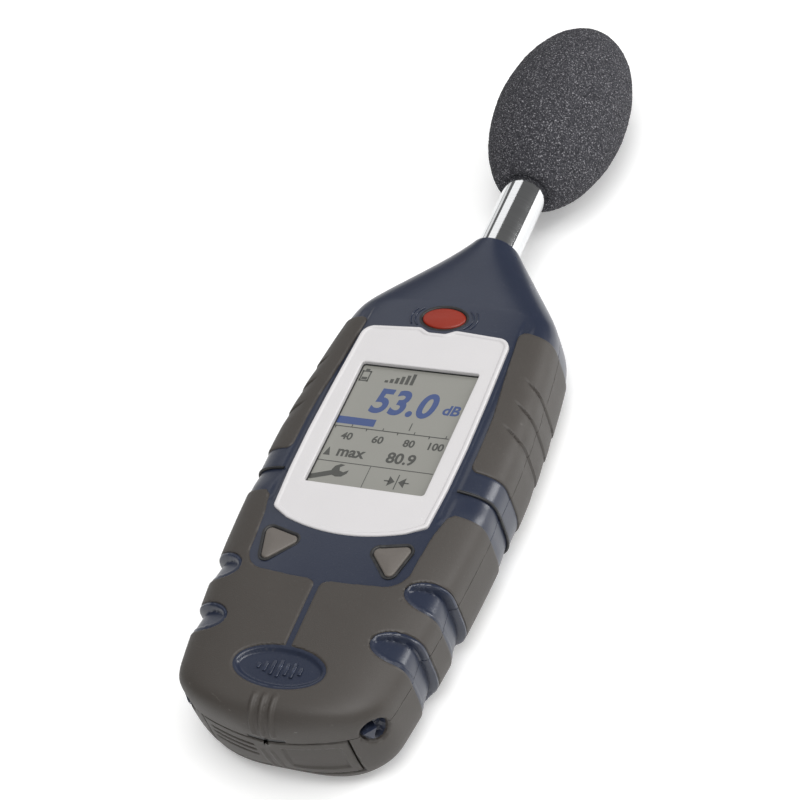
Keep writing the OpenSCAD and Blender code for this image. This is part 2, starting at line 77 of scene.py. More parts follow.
def add_camera():
    right = (CAMERA_RIGHT - CAMERA_BACK * CAMERA_RIGHT.dot(CAMERA_BACK)).normalized()
    up = CAMERA_BACK.cross(right)
    turn = Matrix((right, up, CAMERA_BACK)).transposed().to_4x4()
    data = bpy.data.cameras.new("camera")
    data.sensor_width = 36
    data.lens = 112.5
    camera = bpy.data.objects.new("camera", data)
    camera.matrix_world = Matrix.Translation(CAMERA_PLACE) @ turn
    bpy.context.collection.objects.link(camera)
    bpy.context.scene.camera = camera


def add_softbox(name, place, target, size, power):
    data = bpy.data.lights.new(name, "AREA")
    data.shape = "RECTANGLE"
    data.size, data.size_y = size
    data.energy = power
    lamp = bpy.data.objects.new(name, data)
    aim = Vector(target) - Vector(place)
    lamp.matrix_world = Matrix.Translation(place) @ aim.to_track_quat("-Z", "Y").to_matrix().to_4x4()
    bpy.context.collection.objects.link(lamp)


def add_table():
    bm = bmesh.new()
    bmesh.ops.create_grid(bm, x_segments=4, y_segments=4, size=4)
    bmesh.ops.translate(bm, vec=(0, 0, model_low[2] - 0.0002), verts=bm.verts)
    mesh = bpy.data.meshes.new("table")
    bm.to_mesh(mesh)
    bm.free()
    table = bpy.data.objects.new("table", mesh)
    white, _, shader = new_finish("table white")
    shader.inputs["Base Color"].default_value = (0.9, 0.9, 0.895, 1)
    shader.inputs["Roughness"].default_value = 0.6
    shader.inputs["Emission Color"].default_value = (1, 1, 1, 1)
    shader.inputs["Emission Strength"].default_value = 0.25
    mesh.materials.append(white)
    bpy.context.collection.objects.link(table)


def add_sky():
    world = bpy.data.worlds.new("studio")
    world.use_nodes = True
    background = world.node_tree.nodes["Background"]
    background.inputs["Color"].default_value = (1, 1, 1, 1)
    background.inputs["Strength"].default_value = 0.13
    bpy.context.scene.world = world


add_camera()
add_sky()
add_table()
add_softbox("overhead", (0.22, -0.12, 1.05), (0, 0.02, 0), (0.75, 0.75), 10)
add_softbox("right panel", (0.95, 0.62, 0.5), (0, 0.02, 0.02), (0.22, 0.8), 8)
add_softbox("left panel", (-1.0, 0.5, 0.2), (0, 0.02, 0.02), (0.7, 0.3), 0.5)
add_softbox("tail panel", (0.15, -1.0, 0.4), (0, 0, 0.02), (0.8, 0.3), 1.6)
add_softbox("nose panel", (-0.45, 0.6, 0.62), (0, 0.095, 0.02), (0.7, 0.4), 0.9)
bpy.context.scene.view_settings.view_transform = "Standard"

# ---- Case form -----------------------------------------------------------------
# Both case halves and all the rubber follow one barrel-shaped form: flat faced across
# the display, tapering to a round collar at the nose and rounded off at the tail.
# Shapes are worked out in millimetres and made in metres.

MM = 0.001


def mm_box(node):
    low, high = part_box(node)
    return np.array(low) / MM, np.array(high) / MM


stem_low, stem_high = mm_box("mic_stem")
surround_low, surround_high = mm_box("display_surround")
half_w = mm_box("grip_front_right")[1][0]
case_t = surround_high[2]
axis_h = (stem_low[2] + stem_high[2]) / 2
stem_r = (stem_high[0] - stem_low[0]) / 2
nose_len = mm_box("front_shell")[1][1]
tail_round = 15
edge_round = 7
tail_len = -mm_box("overmould_rear")[0][1] + tail_round * (1 - math.sin(math.radians(80)))
proud = 0.4
split_gap = 0.1
front_power, back_power = 3.8, 4.4
front_h = case_t - axis_h
back_h = axis_h - proud
widest_y = -8
shoulder_y = nose_len - 28.5
collar_r = stem_r + 1.45


def ease(t):
    t = np.clip(t, 0, 1)
    return t * t * (3 - 2 * t)


def barrel(y):
    front = half_w - 0.12 * half_w * ((y - widest_y) / 50) ** 2
    back = half_w - 0.19 * half_w * ((y - widest_y) / 78) ** 2
    return np.where(y > widest_y, front, back)


def plan_w(y, grow):
    rise = (barrel(shoulder_y) - collar_r) / (nose_len - shoulder_y)
    flank = collar_r + np.maximum(0, nose_len - y) * rise
    soft = -1.2 * np.log(np.exp(-barrel(y) / 1.2) + np.exp(-flank / 1.2))
    tail = np.maximum(0, -(tail_len - tail_round) - y) / (tail_round + grow)
    return (soft + grow) * np.clip(1 - tail ** 2.8, 0, 1) ** (1 / 1.5)


def side_h(y, grow, top):
    full = front_h - 1.4 * (np.maximum(0, -y - 40) / 50) ** 2 if top else back_h
    nose = np.maximum(0, y - shoulder_y) / (nose_len - shoulder_y)
    edge = np.maximum(0, -(tail_len - edge_round) - y) / (edge_round + grow)
    return (full + (collar_r - full) * nose + grow) * np.clip(1 - edge ** 2.4, 0, 1) ** (1 / 2.2)


def form_point(angle, y, grow, top):
    """Point on the form: angle runs round a section from the right side to the left."""
    power = front_power if top else back_power
    power = power + (2 - power) * ease((y - shoulder_y + 6) / (nose_len - shoulder_y + 6))
    c, s = np.cos(angle), np.abs(np.sin(angle))
    reach = (np.abs(c) ** power + s ** power) ** (1 / power)
    height = split_gap + (side_h(y, grow, top) - split_gap) * s / reach
    return np.stack([plan_w(y, grow) * c / reach, y, axis_h + (height if top else -height)], -1)


def form_normal(angle, y, grow, top):
    step_a, step_y = 1e-3, 2e-2
    angle = np.clip(angle, 2 * step_a, math.pi - 2 * step_a)
    y_high = np.minimum(y + step_y, nose_len)
    y_low = np.maximum(y - step_y, -tail_len - grow + 1e-4)
    around = form_point(angle + step_a, y, grow, top) - form_point(angle - step_a, y, grow, top)
    along = form_point(angle, y_high, grow, top) - form_point(angle, y_low, grow, top)
    normal = np.cross(along, around) if top else np.cross(around, along)
    size = np.linalg.norm(normal, axis=-1, keepdims=True)
    return np.where(size > 1e-9, normal / np.maximum(size, 1e-9), np.array([0, -1.0, 0]))


def even_angles(top, cell):
    """Angles that step evenly round the widest section."""
    angle = np.linspace(0, math.pi, 2001)
    ring = form_point(angle, np.full_like(angle, float(widest_y)), 0, top)
    run = np.concatenate([[0], np.cumsum(np.linalg.norm(np.diff(ring, axis=0), axis=1))])
    return np.interp(np.linspace(0, run[-1], round(run[-1] / cell) + 1), run, angle)


def row_places(first, last, grow, fine, coarse, zones):
    """Places along Y, closer together inside the zones and round the tail."""
    bend = -(tail_len - tail_round)
    arc = bend - (tail_round + grow) * np.sin(np.linspace(math.pi / 2, 0, 600))
    y = np.unique(np.clip(np.concatenate([arc, np.linspace(bend, nose_len, 3000)]), first, last))
    middle = (y[1:] + y[:-1]) / 2
    step = np.full_like(middle, coarse)
    for low, high in zones:
        step[(middle > low) & (middle < high)] = fine
    span = np.hypot(np.diff(y), np.diff(plan_w(y, grow)))
    run = np.concatenate([[0], np.cumsum(span / step)])
    return np.interp(np.linspace(0, run[-1], math.ceil(run[-1]) + 1), run, y)


def cut_along(bm, state, keep_center):
    """Splits the faces that the outline crosses, then drops those outside it."""
    for face in list(bm.faces):
        marks = [state[v.index] for v in face.verts]
        if max(marks) > 0 and min(marks) < 0:
            on_line = [v for v in face.verts if state[v.index] == 0]
            if len(on_line) == 2:
                bmesh.utils.face_split(face, on_line[0], on_line[1])
    outside = []
    for face in bm.faces:
        marks = [state[v.index] for v in face.verts]
        if min(marks) < 0 or (max(marks) == 0 and keep_center(face.calc_center_median()) < 0):
            outside.append(face)
    bmesh.ops.delete(bm, geom=outside, context="FACES")


def case_sheet(top, grow, y_span, cell, keep, lift, coarse=None, zones=()):
    """Grid laid on the form: keep is the distance inside the outline, lift raises the surface."""
    angles = even_angles(top, cell)
    rows = row_places(y_span[0], y_span[1], grow, cell, coarse or cell, zones)
    nu, nv = len(angles) - 1, len(rows) - 1
    bm = bmesh.new()
    outward = bm.verts.layers.float_vector.new("outward")
    bmesh.ops.create_grid(bm, x_segments=nu, y_segments=nv, size=1)
    spot = np.array([v.co[:2] for v in bm.verts])
    column = np.rint((spot[:, 0] + 1) / 2 * nu).astype(int)
    row = np.rint((spot[:, 1] + 1) / 2 * nv).astype(int)
    a, y = angles[column], rows[row]
    on_side = (column == 0) | (column == nu)
    on_end = (row == 0) | (row == nv)
    snapped = np.zeros(len(a), bool)
    for turn in range(4):
        here = form_point(a, y, grow, top)
        step_a, step_y = 2e-4, 5e-3
        side = form_point(a + step_a, y, grow, top)
        ahead = form_point(a, np.minimum(y + step_y, nose_len), grow, top)
        length_a = np.maximum(np.linalg.norm(side - here, axis=1) / step_a, 1e-3)
        length_y = np.maximum(np.linalg.norm(ahead - here, axis=1) / step_y, 1)
        d = keep(here)
        slope_a = np.where(on_side, 0, (keep(side) - d) / step_a / length_a)
        slope_y = np.where(on_end, 0, (keep(ahead) - d) / step_y / length_y)
        square = np.maximum(slope_a ** 2 + slope_y ** 2, 1e-6)
        if turn == 0:
            snapped = np.abs(d) / np.sqrt(square) < 0.56 * cell
        a = np.where(snapped, a - d * slope_a / square / length_a, a)
        y = np.where(snapped, np.clip(y - d * slope_y / square / length_y, -tail_len - grow, nose_len), y)
    place = form_point(a, y, grow, top)
    d = np.where(snapped, 0, keep(place))
    normal = form_normal(a, y, grow, top)
    place = place + normal * lift(place, d)[:, None]
    for vert, co, away in zip(bm.verts, place, normal):
        vert.co = co * MM
        vert[outward] = away
    cut_along(bm, np.sign(d), lambda center: keep(np.array([center]) / MM)[0])
    bm.normal_update()
    if sum(face.normal.dot(Vector(normal[face.verts[0].index])) for face in bm.faces) < 0:
        bmesh.ops.reverse_faces(bm, faces=bm.faces)
    bmesh.ops.remove_doubles(bm, verts=bm.verts, dist=1e-6)
    return bm


def smooth_piece(name, bm, body, material, nodes=(), sharp=38):
    """Makes the mesh an object, shades it smooth up to the sharp angle, and binds it to its body."""
    bm.normal_update()
    for face in bm.faces:
        face.smooth = True
    for edge in bm.edges:
        edge.smooth = not edge.is_boundary and edge.calc_face_angle(0) < math.radians(sharp)
    mesh = bpy.data.meshes.new(name)
    bm.to_mesh(mesh)
    bm.free()
    mesh.materials.append(material)
    piece = bpy.data.objects.new(name, mesh)
    bpy.context.collection.objects.link(piece)
    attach(piece, body)
    if nodes:
        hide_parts(*nodes)
    return piece


def wall_piece(name, bm, body, material, nodes, thickness):
    """Turns the sheet's open edges inward by the wall's thickness before it is made a piece."""
    outward = bm.verts.layers.float_vector["outward"]
    made = bmesh.ops.extrude_edge_only(bm, edges=[edge for edge in bm.edges if edge.is_boundary])
    for vert in (item for item in made["geom"] if isinstance(item, bmesh.types.BMVert)):
        vert.co -= vert[outward] * thickness * MM
    bm.verts.layers.float_vector.remove(outward)
    return smooth_piece(name, bm, body, material, nodes)


# ---- Outlines on the case --------------------------------------------------------
# The rubber is moulded into seats with clean outlines: the same arcs and straight runs
# bound the rubber, the bare plastic and the finger recesses.

grip_low, grip_high = mm_box("grip_front_right")
grip_top, grip_end = grip_high[1], grip_low[1]
lower_top = -24.5
recess_w = 8.5
recess_a_y = -tail_len + 43.5
recess_b_y = -tail_len + 27.5
badge_y = -tail_len + 15.7
badge_a, badge_b = 12.9, 6.1
strip_w = 1.4


def corner(center, r, first, last, steps=8):
    turns = np.radians(np.linspace(first, last, steps + 1))
    return [(center[0] + r * math.cos(t), center[1] + r * math.sin(t)) for t in turns]


def ellipse(center, a, b, steps=64):
    turns = [2 * math.pi * i / steps for i in range(steps)]
    return [(center[0] + a * math.cos(t), center[1] + b * math.sin(t)) for t in turns]


def least(*distances):
    """Distance inside every one of several outlines at once."""
    return np.minimum.reduce(np.broadcast_arrays(*distances))


def inside_of(outline):
    """Distance inside a closed outline, negative outside, for points given as rows of x, y."""
    points = np.array(outline, float)

    def distance(x, y):
        nearest = np.full(x.shape, 1e9)
        crossings = np.zeros(x.shape, bool)
        for (x0, y0), (x1, y1) in zip(points, np.roll(points, -1, axis=0)):
            dx, dy = x1 - x0, y1 - y0
            along = np.clip(((x - x0) * dx + (y - y0) * dy) / (dx * dx + dy * dy), 0, 1)
            nearest = np.minimum(nearest, np.hypot(x - x0 - along * dx, y - y0 - along * dy))
            if y0 != y1:
                spans = (y0 > y) != (y1 > y)
                crossings ^= spans & (x < x0 + (y - y0) * dx / (y1 - y0))
        return np.where(crossings, nearest, -nearest)

    return distance


upper_grip_inside = inside_of(
    [(half_w + 6, grip_end), (half_w + 6, grip_top)]
    + corner((25.4, grip_top - 2.4), 2.4, 90, 180)
    + [(24.4, 21), (25.9, 8), (26.2, 0)]
    + corner((28.4, grip_end + 2.2), 2.2, 180, 270)
)
lower_inside = inside_of(
    [(half_w + 6, lower_top), (27.6, lower_top), (25.9, lower_top - 1.6), (24.3, -32), (23.3, -41)]
    + corner((16.6, -43.4), 6.6, -5, -90)
    + [(8.6, -50.7), (-4, -51.2), (-4, -tail_len - 6), (half_w + 6, -tail_len - 6)]
)
badge_inside = inside_of(ellipse((0, badge_y), badge_a, badge_b))


def recess_local(x, y, tip, center_y, trim, reach):
    """Half width of a finger recess at x, and the distance inside its edge."""
    half = recess_w / 2 - trim
    bulge = np.clip((tip + trim + reach - x) / reach, 0, 1)
    half = half * np.sqrt(np.clip(1 - bulge ** 2, 0, 1))
    beyond = -np.hypot(x - tip - trim, y - center_y)
    return half, np.where(x > tip + trim, half - np.abs(y - center_y), beyond)


FRONT_TIPS = ((23.6, recess_a_y, 8), (20.6, recess_b_y, 8))
REAR_TIPS = ((26.8, recess_a_y, 3), (26.8, recess_b_y, 3))


def recess_inside(x, y, top):
    tips = FRONT_TIPS if top else REAR_TIPS
    return np.maximum(*[recess_local(x, y, tip, center, 0, reach)[1] for tip, center, reach in tips])


anchor_x, anchor_y, anchor_turn = 22.9, -tail_len + 12, math.radians(-42)
anchor_r = 3.9


def anchor_away(p):
    """Distance from the line down the middle of a strap anchor, in the tail's corners."""
    x, y = np.abs(p[:, 0]) - anchor_x, p[:, 1] - anchor_y
    across = -x * math.sin(anchor_turn) + y * math.cos(anchor_turn)
    return np.where(y < 9, np.hypot(across, p[:, 2] - axis_h), 50)


slot_half_w, slot_h, slot_y = 5, 0.9, -88
strip_flare, strip_flare_y, strip_top = 2.0, -53.2, -45


def front_rubber_inside(p):
    x, y = np.abs(p[:, 0]), p[:, 1]
    flare = strip_flare * (1 - np.sqrt(1 - np.clip((y - strip_flare_y) / strip_flare, 0, 1) ** 2))
    strip = least(strip_w / 2 + flare - x, y - badge_y, strip_top - y)
    slot = least(slot_half_w - x, axis_h + slot_h - p[:, 2], slot_y - y)
    bare = (-recess_inside(x, y, True), -badge_inside(x, y), -strip, -slot)
    return least(lower_inside(x, y), *bare, anchor_away(p) - anchor_r)


def lip(d, r=0.7, drop=0.55):
    """Rounded edge of moulded rubber, d millimetres inside its outline."""
    t = np.clip(1 - d / r, 0, 1)
    return -drop * (1 - np.sqrt(np.clip(1 - t * t, 0, 1)))


# ---- Surface finishes ------------------------------------------------------------
# The plastic is spark-textured in the mould and the rubber is matt and slightly mottled.
# Grain, mottle and edge wear are shared by several of the finishes.


def new_group(name, inputs, outputs):
    group = bpy.data.node_groups.new(name, "ShaderNodeTree")
    for label, value in inputs:
        socket = group.interface.new_socket(label, in_out="INPUT", socket_type="NodeSocketFloat")
        socket.default_value = value
    for label in outputs:
        group.interface.new_socket(label, in_out="OUTPUT", socket_type="NodeSocketFloat")
    tree = group.nodes
    return group, tree.new("NodeGroupInput"), tree.new("NodeGroupOutput")


def feed(tree, socket, value):
    """Links a node's output to the socket, or sets a plain value on it."""
    if isinstance(value, bpy.types.NodeSocket):
        tree.links.new(value, socket)
    else:
        socket.default_value = (*value, 1) if isinstance(value, tuple) else value


def math_node(tree, operation, first, second, clamp=False):
    node = tree.nodes.new("ShaderNodeMath")
    node.operation = operation
    node.use_clamp = clamp
    feed(tree, node.inputs[0], first)
    feed(tree, node.inputs[1], second)
    return node.outputs[0]


def noise_node(tree, scale, detail=3, rough=0.55):
    place = tree.nodes.new("ShaderNodeTexCoord")
    node = tree.nodes.new("ShaderNodeTexNoise")
    node.inputs["Detail"].default_value = detail
    node.inputs["Roughness"].default_value = rough
    tree.links.new(place.outputs["Object"], node.inputs["Vector"])
    feed(tree, node.inputs["Scale"], scale)
    return node.outputs["Fac"]


def make_grain_group():
    """Fine moulded grain over a slow swell: Height for a bump and Tint for colour."""
    group, given, out = new_group(
        "moulded grain", [("Scale", 2600), ("Swell", 0.25)], ["Height", "Tint"]
    )
    fine = noise_node(group, given.outputs["Scale"], 2)
    slow = noise_node(group, 90.0, 2)
    tall = math_node(group, "MULTIPLY", slow, given.outputs["Swell"])
    group.links.new(math_node(group, "ADD", fine, tall), out.inputs["Height"])
    half_fine = math_node(group, "MULTIPLY", fine, 0.5)
    half_slow = math_node(group, "MULTIPLY", slow, 0.5)
    group.links.new(math_node(group, "ADD", half_fine, half_slow), out.inputs["Tint"])
    return group


def make_wear_group():
    """Mask of rubbed edges, broken up by noise."""
    group, given, out = new_group("edge wear", [("Reach", 14), ("Break", 0.5)], ["Mask"])
    shape = group.nodes.new("ShaderNodeNewGeometry")
    edge = math_node(group, "MULTIPLY", math_node(group, "SUBTRACT", shape.outputs["Pointiness"], 0.515),
                     given.outputs["Reach"], True)
    patch = math_node(group, "SUBTRACT", noise_node(group, 420.0, 4), given.outputs["Break"])
    patch = math_node(group, "MULTIPLY", patch, 6, True)
    group.links.new(math_node(group, "MULTIPLY", edge, patch), out.inputs["Mask"])
    return group


def make_marks_group():
    """Faint handling marks and dust that change the gloss in patches."""
    group, given, out = new_group("handling marks", [("Amount", 0.1)], ["Gloss", "Dust"])
    broad = noise_node(group, 55.0, 5, 0.65)
    specks = noise_node(group, 1500.0, 1)
    shift = math_node(group, "MULTIPLY", math_node(group, "SUBTRACT", broad, 0.5), given.outputs["Amount"])
    group.links.new(shift, out.inputs["Gloss"])
    dust = math_node(group, "MULTIPLY", math_node(group, "SUBTRACT", specks, 0.66), 1.5, True)
    group.links.new(math_node(group, "MULTIPLY", dust, given.outputs["Amount"]), out.inputs["Dust"])
    return group


grain_group = make_grain_group()
wear_group = make_wear_group()
marks_group = make_marks_group()


def use_group(tree, group, **values):
    node = tree.nodes.new("ShaderNodeGroup")
    node.node_tree = group
    for label, value in values.items():
        node.inputs[label].default_value = value
    return node


def mix_color(tree, factor, first, second):
    node = tree.nodes.new("ShaderNodeMix")
    node.data_type = "RGBA"
    for index, value in ((0, factor), (6, first), (7, second)):
        feed(tree, node.inputs[index], value)
    return node.outputs[2]


def add_relief(tree, shader, height, strength, distance):
    relief = tree.nodes.new("ShaderNodeBump")
    relief.inputs["Strength"].default_value = strength
    relief.inputs["Distance"].default_value = distance
    tree.links.new(height, relief.inputs["Height"])
    tree.links.new(relief.outputs["Normal"], shader.inputs["Normal"])


def moulded_finish(name, dark, light, worn, rough, grain, bump, metal=0.0, marks=0.12):
    """A moulded finish: tinted grain, worn edges, patchy gloss and a fine bump."""
    material, tree, shader = new_finish(name)
    grained = use_group(tree, grain_group, Scale=grain)
    rubbed = use_group(tree, wear_group)
    handled = use_group(tree, marks_group, Amount=marks)
    base = mix_color(tree, grained.outputs["Tint"], dark, light)
    base = mix_color(tree, rubbed.outputs["Mask"], base, worn)
    base = mix_color(tree, handled.outputs["Dust"], base, (0.5, 0.5, 0.49))
    tree.links.new(base, shader.inputs["Base Color"])
    gloss = math_node(tree, "ADD", handled.outputs["Gloss"], rough)
    polish = math_node(tree, "MULTIPLY", rubbed.outputs["Mask"], 0.08)
    tree.links.new(math_node(tree, "SUBTRACT", gloss, polish, True), shader.inputs["Roughness"])
    shader.inputs["Metallic"].default_value = metal
    add_relief(tree, shader, grained.outputs["Height"], bump, 0.00012)
    return material


navy_plastic = moulded_finish(
    "navy plastic", (0.015, 0.02, 0.038), (0.023, 0.03, 0.054), (0.05, 0.06, 0.095), 0.3, 2600, 0.2
)
grip_rubber = moulded_finish(
    "grip rubber", (0.042, 0.036, 0.031), (0.056, 0.049, 0.043), (0.09, 0.082, 0.074), 0.55, 3400, 0.35
)

# ---- Front case half -------------------------------------------------------------
# The navy front moulding: a raised field carries the display surround, the keys pass
# through it, and the finger recesses, the badge seat and the strap anchors are sunk in it.

KEY_CENTERS = ((12.6, -40.2, 1.5, 85, 215), (17.7, -45.4, 1.5, 230, 350), (19.4, -38.7, 1.5, -10, 100))
power_low, power_high = mm_box("power_button")
power_y = (power_low[1] + power_high[1]) / 2
power_a, power_b = 6.4, 3.7
key_gap = 0.35
band_line_y = -17.2
recess_depth, recess_ridge = 1.65, 0.42
badge_depth = 0.85
rubber_seat = 0.9
anchor_depth = 2.6


def key_outline(grow=0):
    points = []
    for x, y, r, first, last in KEY_CENTERS:
        points += corner((x, y), r + grow, first, last)
    return points


key_inside = inside_of(key_outline(key_gap))
power_inside = inside_of(ellipse((0, power_y), power_a + key_gap, power_b + key_gap))
window_half = (surround_high[0] - 4.5, 22.5)


def front_holes(p):
    x, y = np.abs(p[:, 0]), p[:, 1]
    window = least(window_half[0] - x, window_half[1] - np.abs(y))
    return least(-key_inside(x, y), -power_inside(x, y), -window)


def scoop_depth(x, y, top):
    """Finger recess: a raised lip, a sheer upper wall and a floor that rises to the tail side."""
    total = np.zeros_like(x)
    for tip, center, reach in FRONT_TIPS if top else REAR_TIPS:
        edge_d = recess_local(x, y, tip, center, 0, reach)[1]
        half, d = recess_local(x, y, tip, center, 1.0, reach)
        s = np.clip((center + half - y) / np.maximum(2 * half, 1e-3), 0, 1)
        sink = ease(s / 0.1) * (1 - 0.86 * s) * np.clip(half / 3.2, 0, 1)
        upper = ease((y - center) / 2.0)
        ridge = recess_ridge * ease((edge_d + 0.25) / 0.45) * ease((1.15 - edge_d) / 0.45) * upper
        total += np.where(d > 0, -recess_depth * sink, 0) + np.where(edge_d > -0.3, ridge, 0)
    return total


def band_step(y):
    """The bare band drops at its middle and rises again to the lower rubber."""
    s = band_line_y - y
    return 0.5 * ease((s + 0.35) / 0.35) * (1 - ease(s / 6.4)) * (s > -0.35)


def front_case_lift(p, d):
    x, y = np.abs(p[:, 0]), p[:, 1]
    rubber = np.maximum(front_rubber_inside(p), upper_grip_inside(x, y))
    lift = -rubber_seat * ease((rubber - 0.5) / 0.8)
    lift += scoop_depth(x, y, True)
    lift -= badge_depth * ease((badge_inside(x, y) - 0.6) / 0.9)
    lift -= band_step(y) * ease((x - 25.0) / 1.6)
    field_edge = 23.2 - 0.8 * ((y + 4) / 38) ** 2
    field = ease((x - field_edge - 0.3) / 0.9) * ease((y + 29) / 3) * ease((43 - y) / 6)
    lift -= 0.4 * field * ease((26.5 - x) / 1.5)
    lift -= anchor_depth * ease((anchor_r + 0.4 - anchor_away(p)) / 1.1)
    return lift


front_case = case_sheet(
    True, -proud, (-tail_len + proud, nose_len), 0.38, front_holes, front_case_lift,
    coarse=0.8, zones=((-88, -12), (33, 44)),
)
wall_piece("front_case", front_case, "meter", navy_plastic, ["front_shell"], 1.6)

# ---- Rear case half ----------------------------------------------------------------
# The deeper navy rear moulding, open for the battery door, the socket flap, the tripod
# bush and the four screws. A round land about the bush is what the meter lies on.

door_low, door_high = mm_box("battery_cover")
flap_low, flap_high = mm_box("connector_cover")
bush_r = mm_box("tripod_bush")[1][0]
screw_at = ((26.3, -17.5), (18.5, shoulder_y))
door_gap = 0.35
door_margin = (door_high[0] + 3.2, door_low[1] - 2.8)
screw_well_r = 2.9
NOT_HERE = -9


def on_back(p, distance):
    return np.where(p[:, 2] < axis_h - 8, distance, NOT_HERE)


def flap_opening(p):
    """Distance inside the opening that the socket flap closes."""
    inside = least(flap_high[0] + door_gap - np.abs(p[:, 0]), p[:, 2] - flap_low[2] + door_gap)
    return np.where(p[:, 1] < -tail_len + 9, inside, NOT_HERE)


def rear_holes(p):
    x, y = np.abs(p[:, 0]), p[:, 1]
    door = least(door_high[0] + door_gap - x, y - door_low[1] + door_gap, door_high[1] + 0.5 - y)
    wells = [screw_well_r - np.hypot(x - sx, y - sy) for sx, sy in screw_at]
    holes = [on_back(p, hole) for hole in (door, *wells, bush_r - np.hypot(x, y))]
    return least(*[-hole for hole in holes], -flap_opening(p))


def rear_lower_inside(p):
    x, y = np.abs(p[:, 0]), p[:, 1]
    bare = on_back(p, least(door_margin[0] - x, y - door_margin[1]))
    cuts = (-bare, -recess_inside(x, y, False), -flap_opening(p), anchor_away(p) - anchor_r)
    return least(lower_top - y, *cuts)


def rear_upper_inside(p):
    x, y = np.abs(p[:, 0]), p[:, 1]
    return least(x - 24, grip_top - y, y - grip_end)


def rear_case_lift(p, d):
    x, y = np.abs(p[:, 0]), p[:, 1]
    rubber = np.maximum(rear_lower_inside(p), rear_upper_inside(p))
    lift = -rubber_seat * ease((rubber - 0.5) / 0.8)
    lift += scoop_depth(x, y, False)
    lift -= band_step(y) * ease((p[:, 2] - 3) / 3)
    lift -= anchor_depth * ease((anchor_r + 0.4 - anchor_away(p)) / 1.1)
    return lift + 0.8 * ease((13 - np.hypot(x, y)) / 0.5) * (p[:, 2] < 3)


rear_case = case_sheet(
    False, -proud, (-tail_len + proud, nose_len), 0.46, rear_holes, rear_case_lift,
    coarse=0.85, zones=((-82, 14), (40, 50)),
)
wall_piece("rear_case", rear_case, "meter", navy_plastic, ["rear_shell"], 1.6)

# ---- Side grips ------------------------------------------------------------------
# Warm grey rubber moulded over both upper sides, split at the parting line like the case.
# Three thumb grooves cross each grip, sharp on their upper side and shallow below.

GROOVES = (20.0, 12.0, 3.5)
groove_d, groove_run = 0.62, 6.0


def groove_depth(x, y):
    depth = np.zeros_like(x)
    for groove in GROOVES:
        s = groove + 0.55 * np.clip(34.5 - x, 0, 6) - y
        fall = 1 - 0.55 * ease(s / 0.45) - 0.45 * ease(s / groove_run)
        step = np.where(s < 0, ease(1 + s / 0.3), fall)
        depth = np.maximum(depth, step * (s < groove_run) * (s > -0.3))
    return groove_d * depth * ease((x - 28.6) / 3.4)


def upper_grip(top, side):
    def keep(p):
        d = upper_grip_inside(np.abs(p[:, 0]), p[:, 1]) if top else rear_upper_inside(p)
        return np.minimum(d, side * p[:, 0] - 5)

    def lift(p, d):
        return lip(d) - groove_depth(np.abs(p[:, 0]), p[:, 1])

    return case_sheet(top, 0, (grip_end - 2, grip_top + 2), 0.33, keep, lift)


for side, side_name in ((1, "right"), (-1, "left")):
    for top, half_name in ((True, "front"), (False, "rear")):
        wall_piece(
            f"side_grip_{half_name}_{side_name}", upper_grip(top, side), "meter", grip_rubber,
            [f"grip_{half_name}_{side_name}"], 1.1,
        )

# ---- Lower overmould ---------------------------------------------------------------
# One rubber moulding wraps the front of the handle and the tail, another the back. Three
# thumb ribs roll over the tail edge above the nail slot of the socket flap.


def front_overmould_lift(p, d):
    x, y, z = p[:, 0], p[:, 1], p[:, 2]
    lift = lip(d)
    for rib in (-2.8, 0.0, 2.8):
        ridge = np.clip(1 - ((x - rib) / 0.85) ** 2, 0, 1)
        lift += 0.5 * ridge * ease((-tail_len + 8.5 - y) / 2.0) * ease((z - axis_h - 1.6) / 1.2)
    return lift


front_overmould = case_sheet(
    True, 0, (-tail_len, lower_top + 1), 0.36, front_rubber_inside, front_overmould_lift
)
rear_overmould = case_sheet(
    False, 0, (-tail_len, lower_top + 1), 0.42, rear_lower_inside, lambda p, d: lip(d)
)
for half_name, sheet in (("front", front_overmould), ("rear", rear_overmould)):
    wall_piece(
        f"lower_overmould_{half_name}", sheet, "meter", grip_rubber,
        [f"overmould_{half_name}"], 1.0,
    )

# ---- Nose ring, stem and microphone --------------------------------------------------
# A turned ring closes the nose round a black seal. The half inch stem is a polished
# chrome tube that carries the microphone, which the windscreen hides.


def turned(profile, center_z, steps):
    """Spins a profile of radius and place along Y about the microphone's axis."""
    bm = bmesh.new()
    verts = [bm.verts.new((r * MM, y * MM, center_z * MM)) for r, y in profile]
    edges = [bm.edges.new(pair) for pair in zip(verts, verts[1:])]
    bmesh.ops.spin(
        bm, geom=verts + edges, cent=(0, 0, center_z * MM), axis=(0, 1, 0), angle=2 * math.pi,
        steps=steps, use_merge=True,
    )
    bmesh.ops.remove_doubles(bm, verts=bm.verts, dist=1e-7)
    bmesh.ops.recalc_face_normals(bm, faces=bm.faces)
    return bm


def rounded_end(r, y, radius, first, last, steps=8):
    turns = np.radians(np.linspace(first, last, steps + 1))
    return [(r + radius * math.cos(t), y + radius * math.sin(t)) for t in turns]


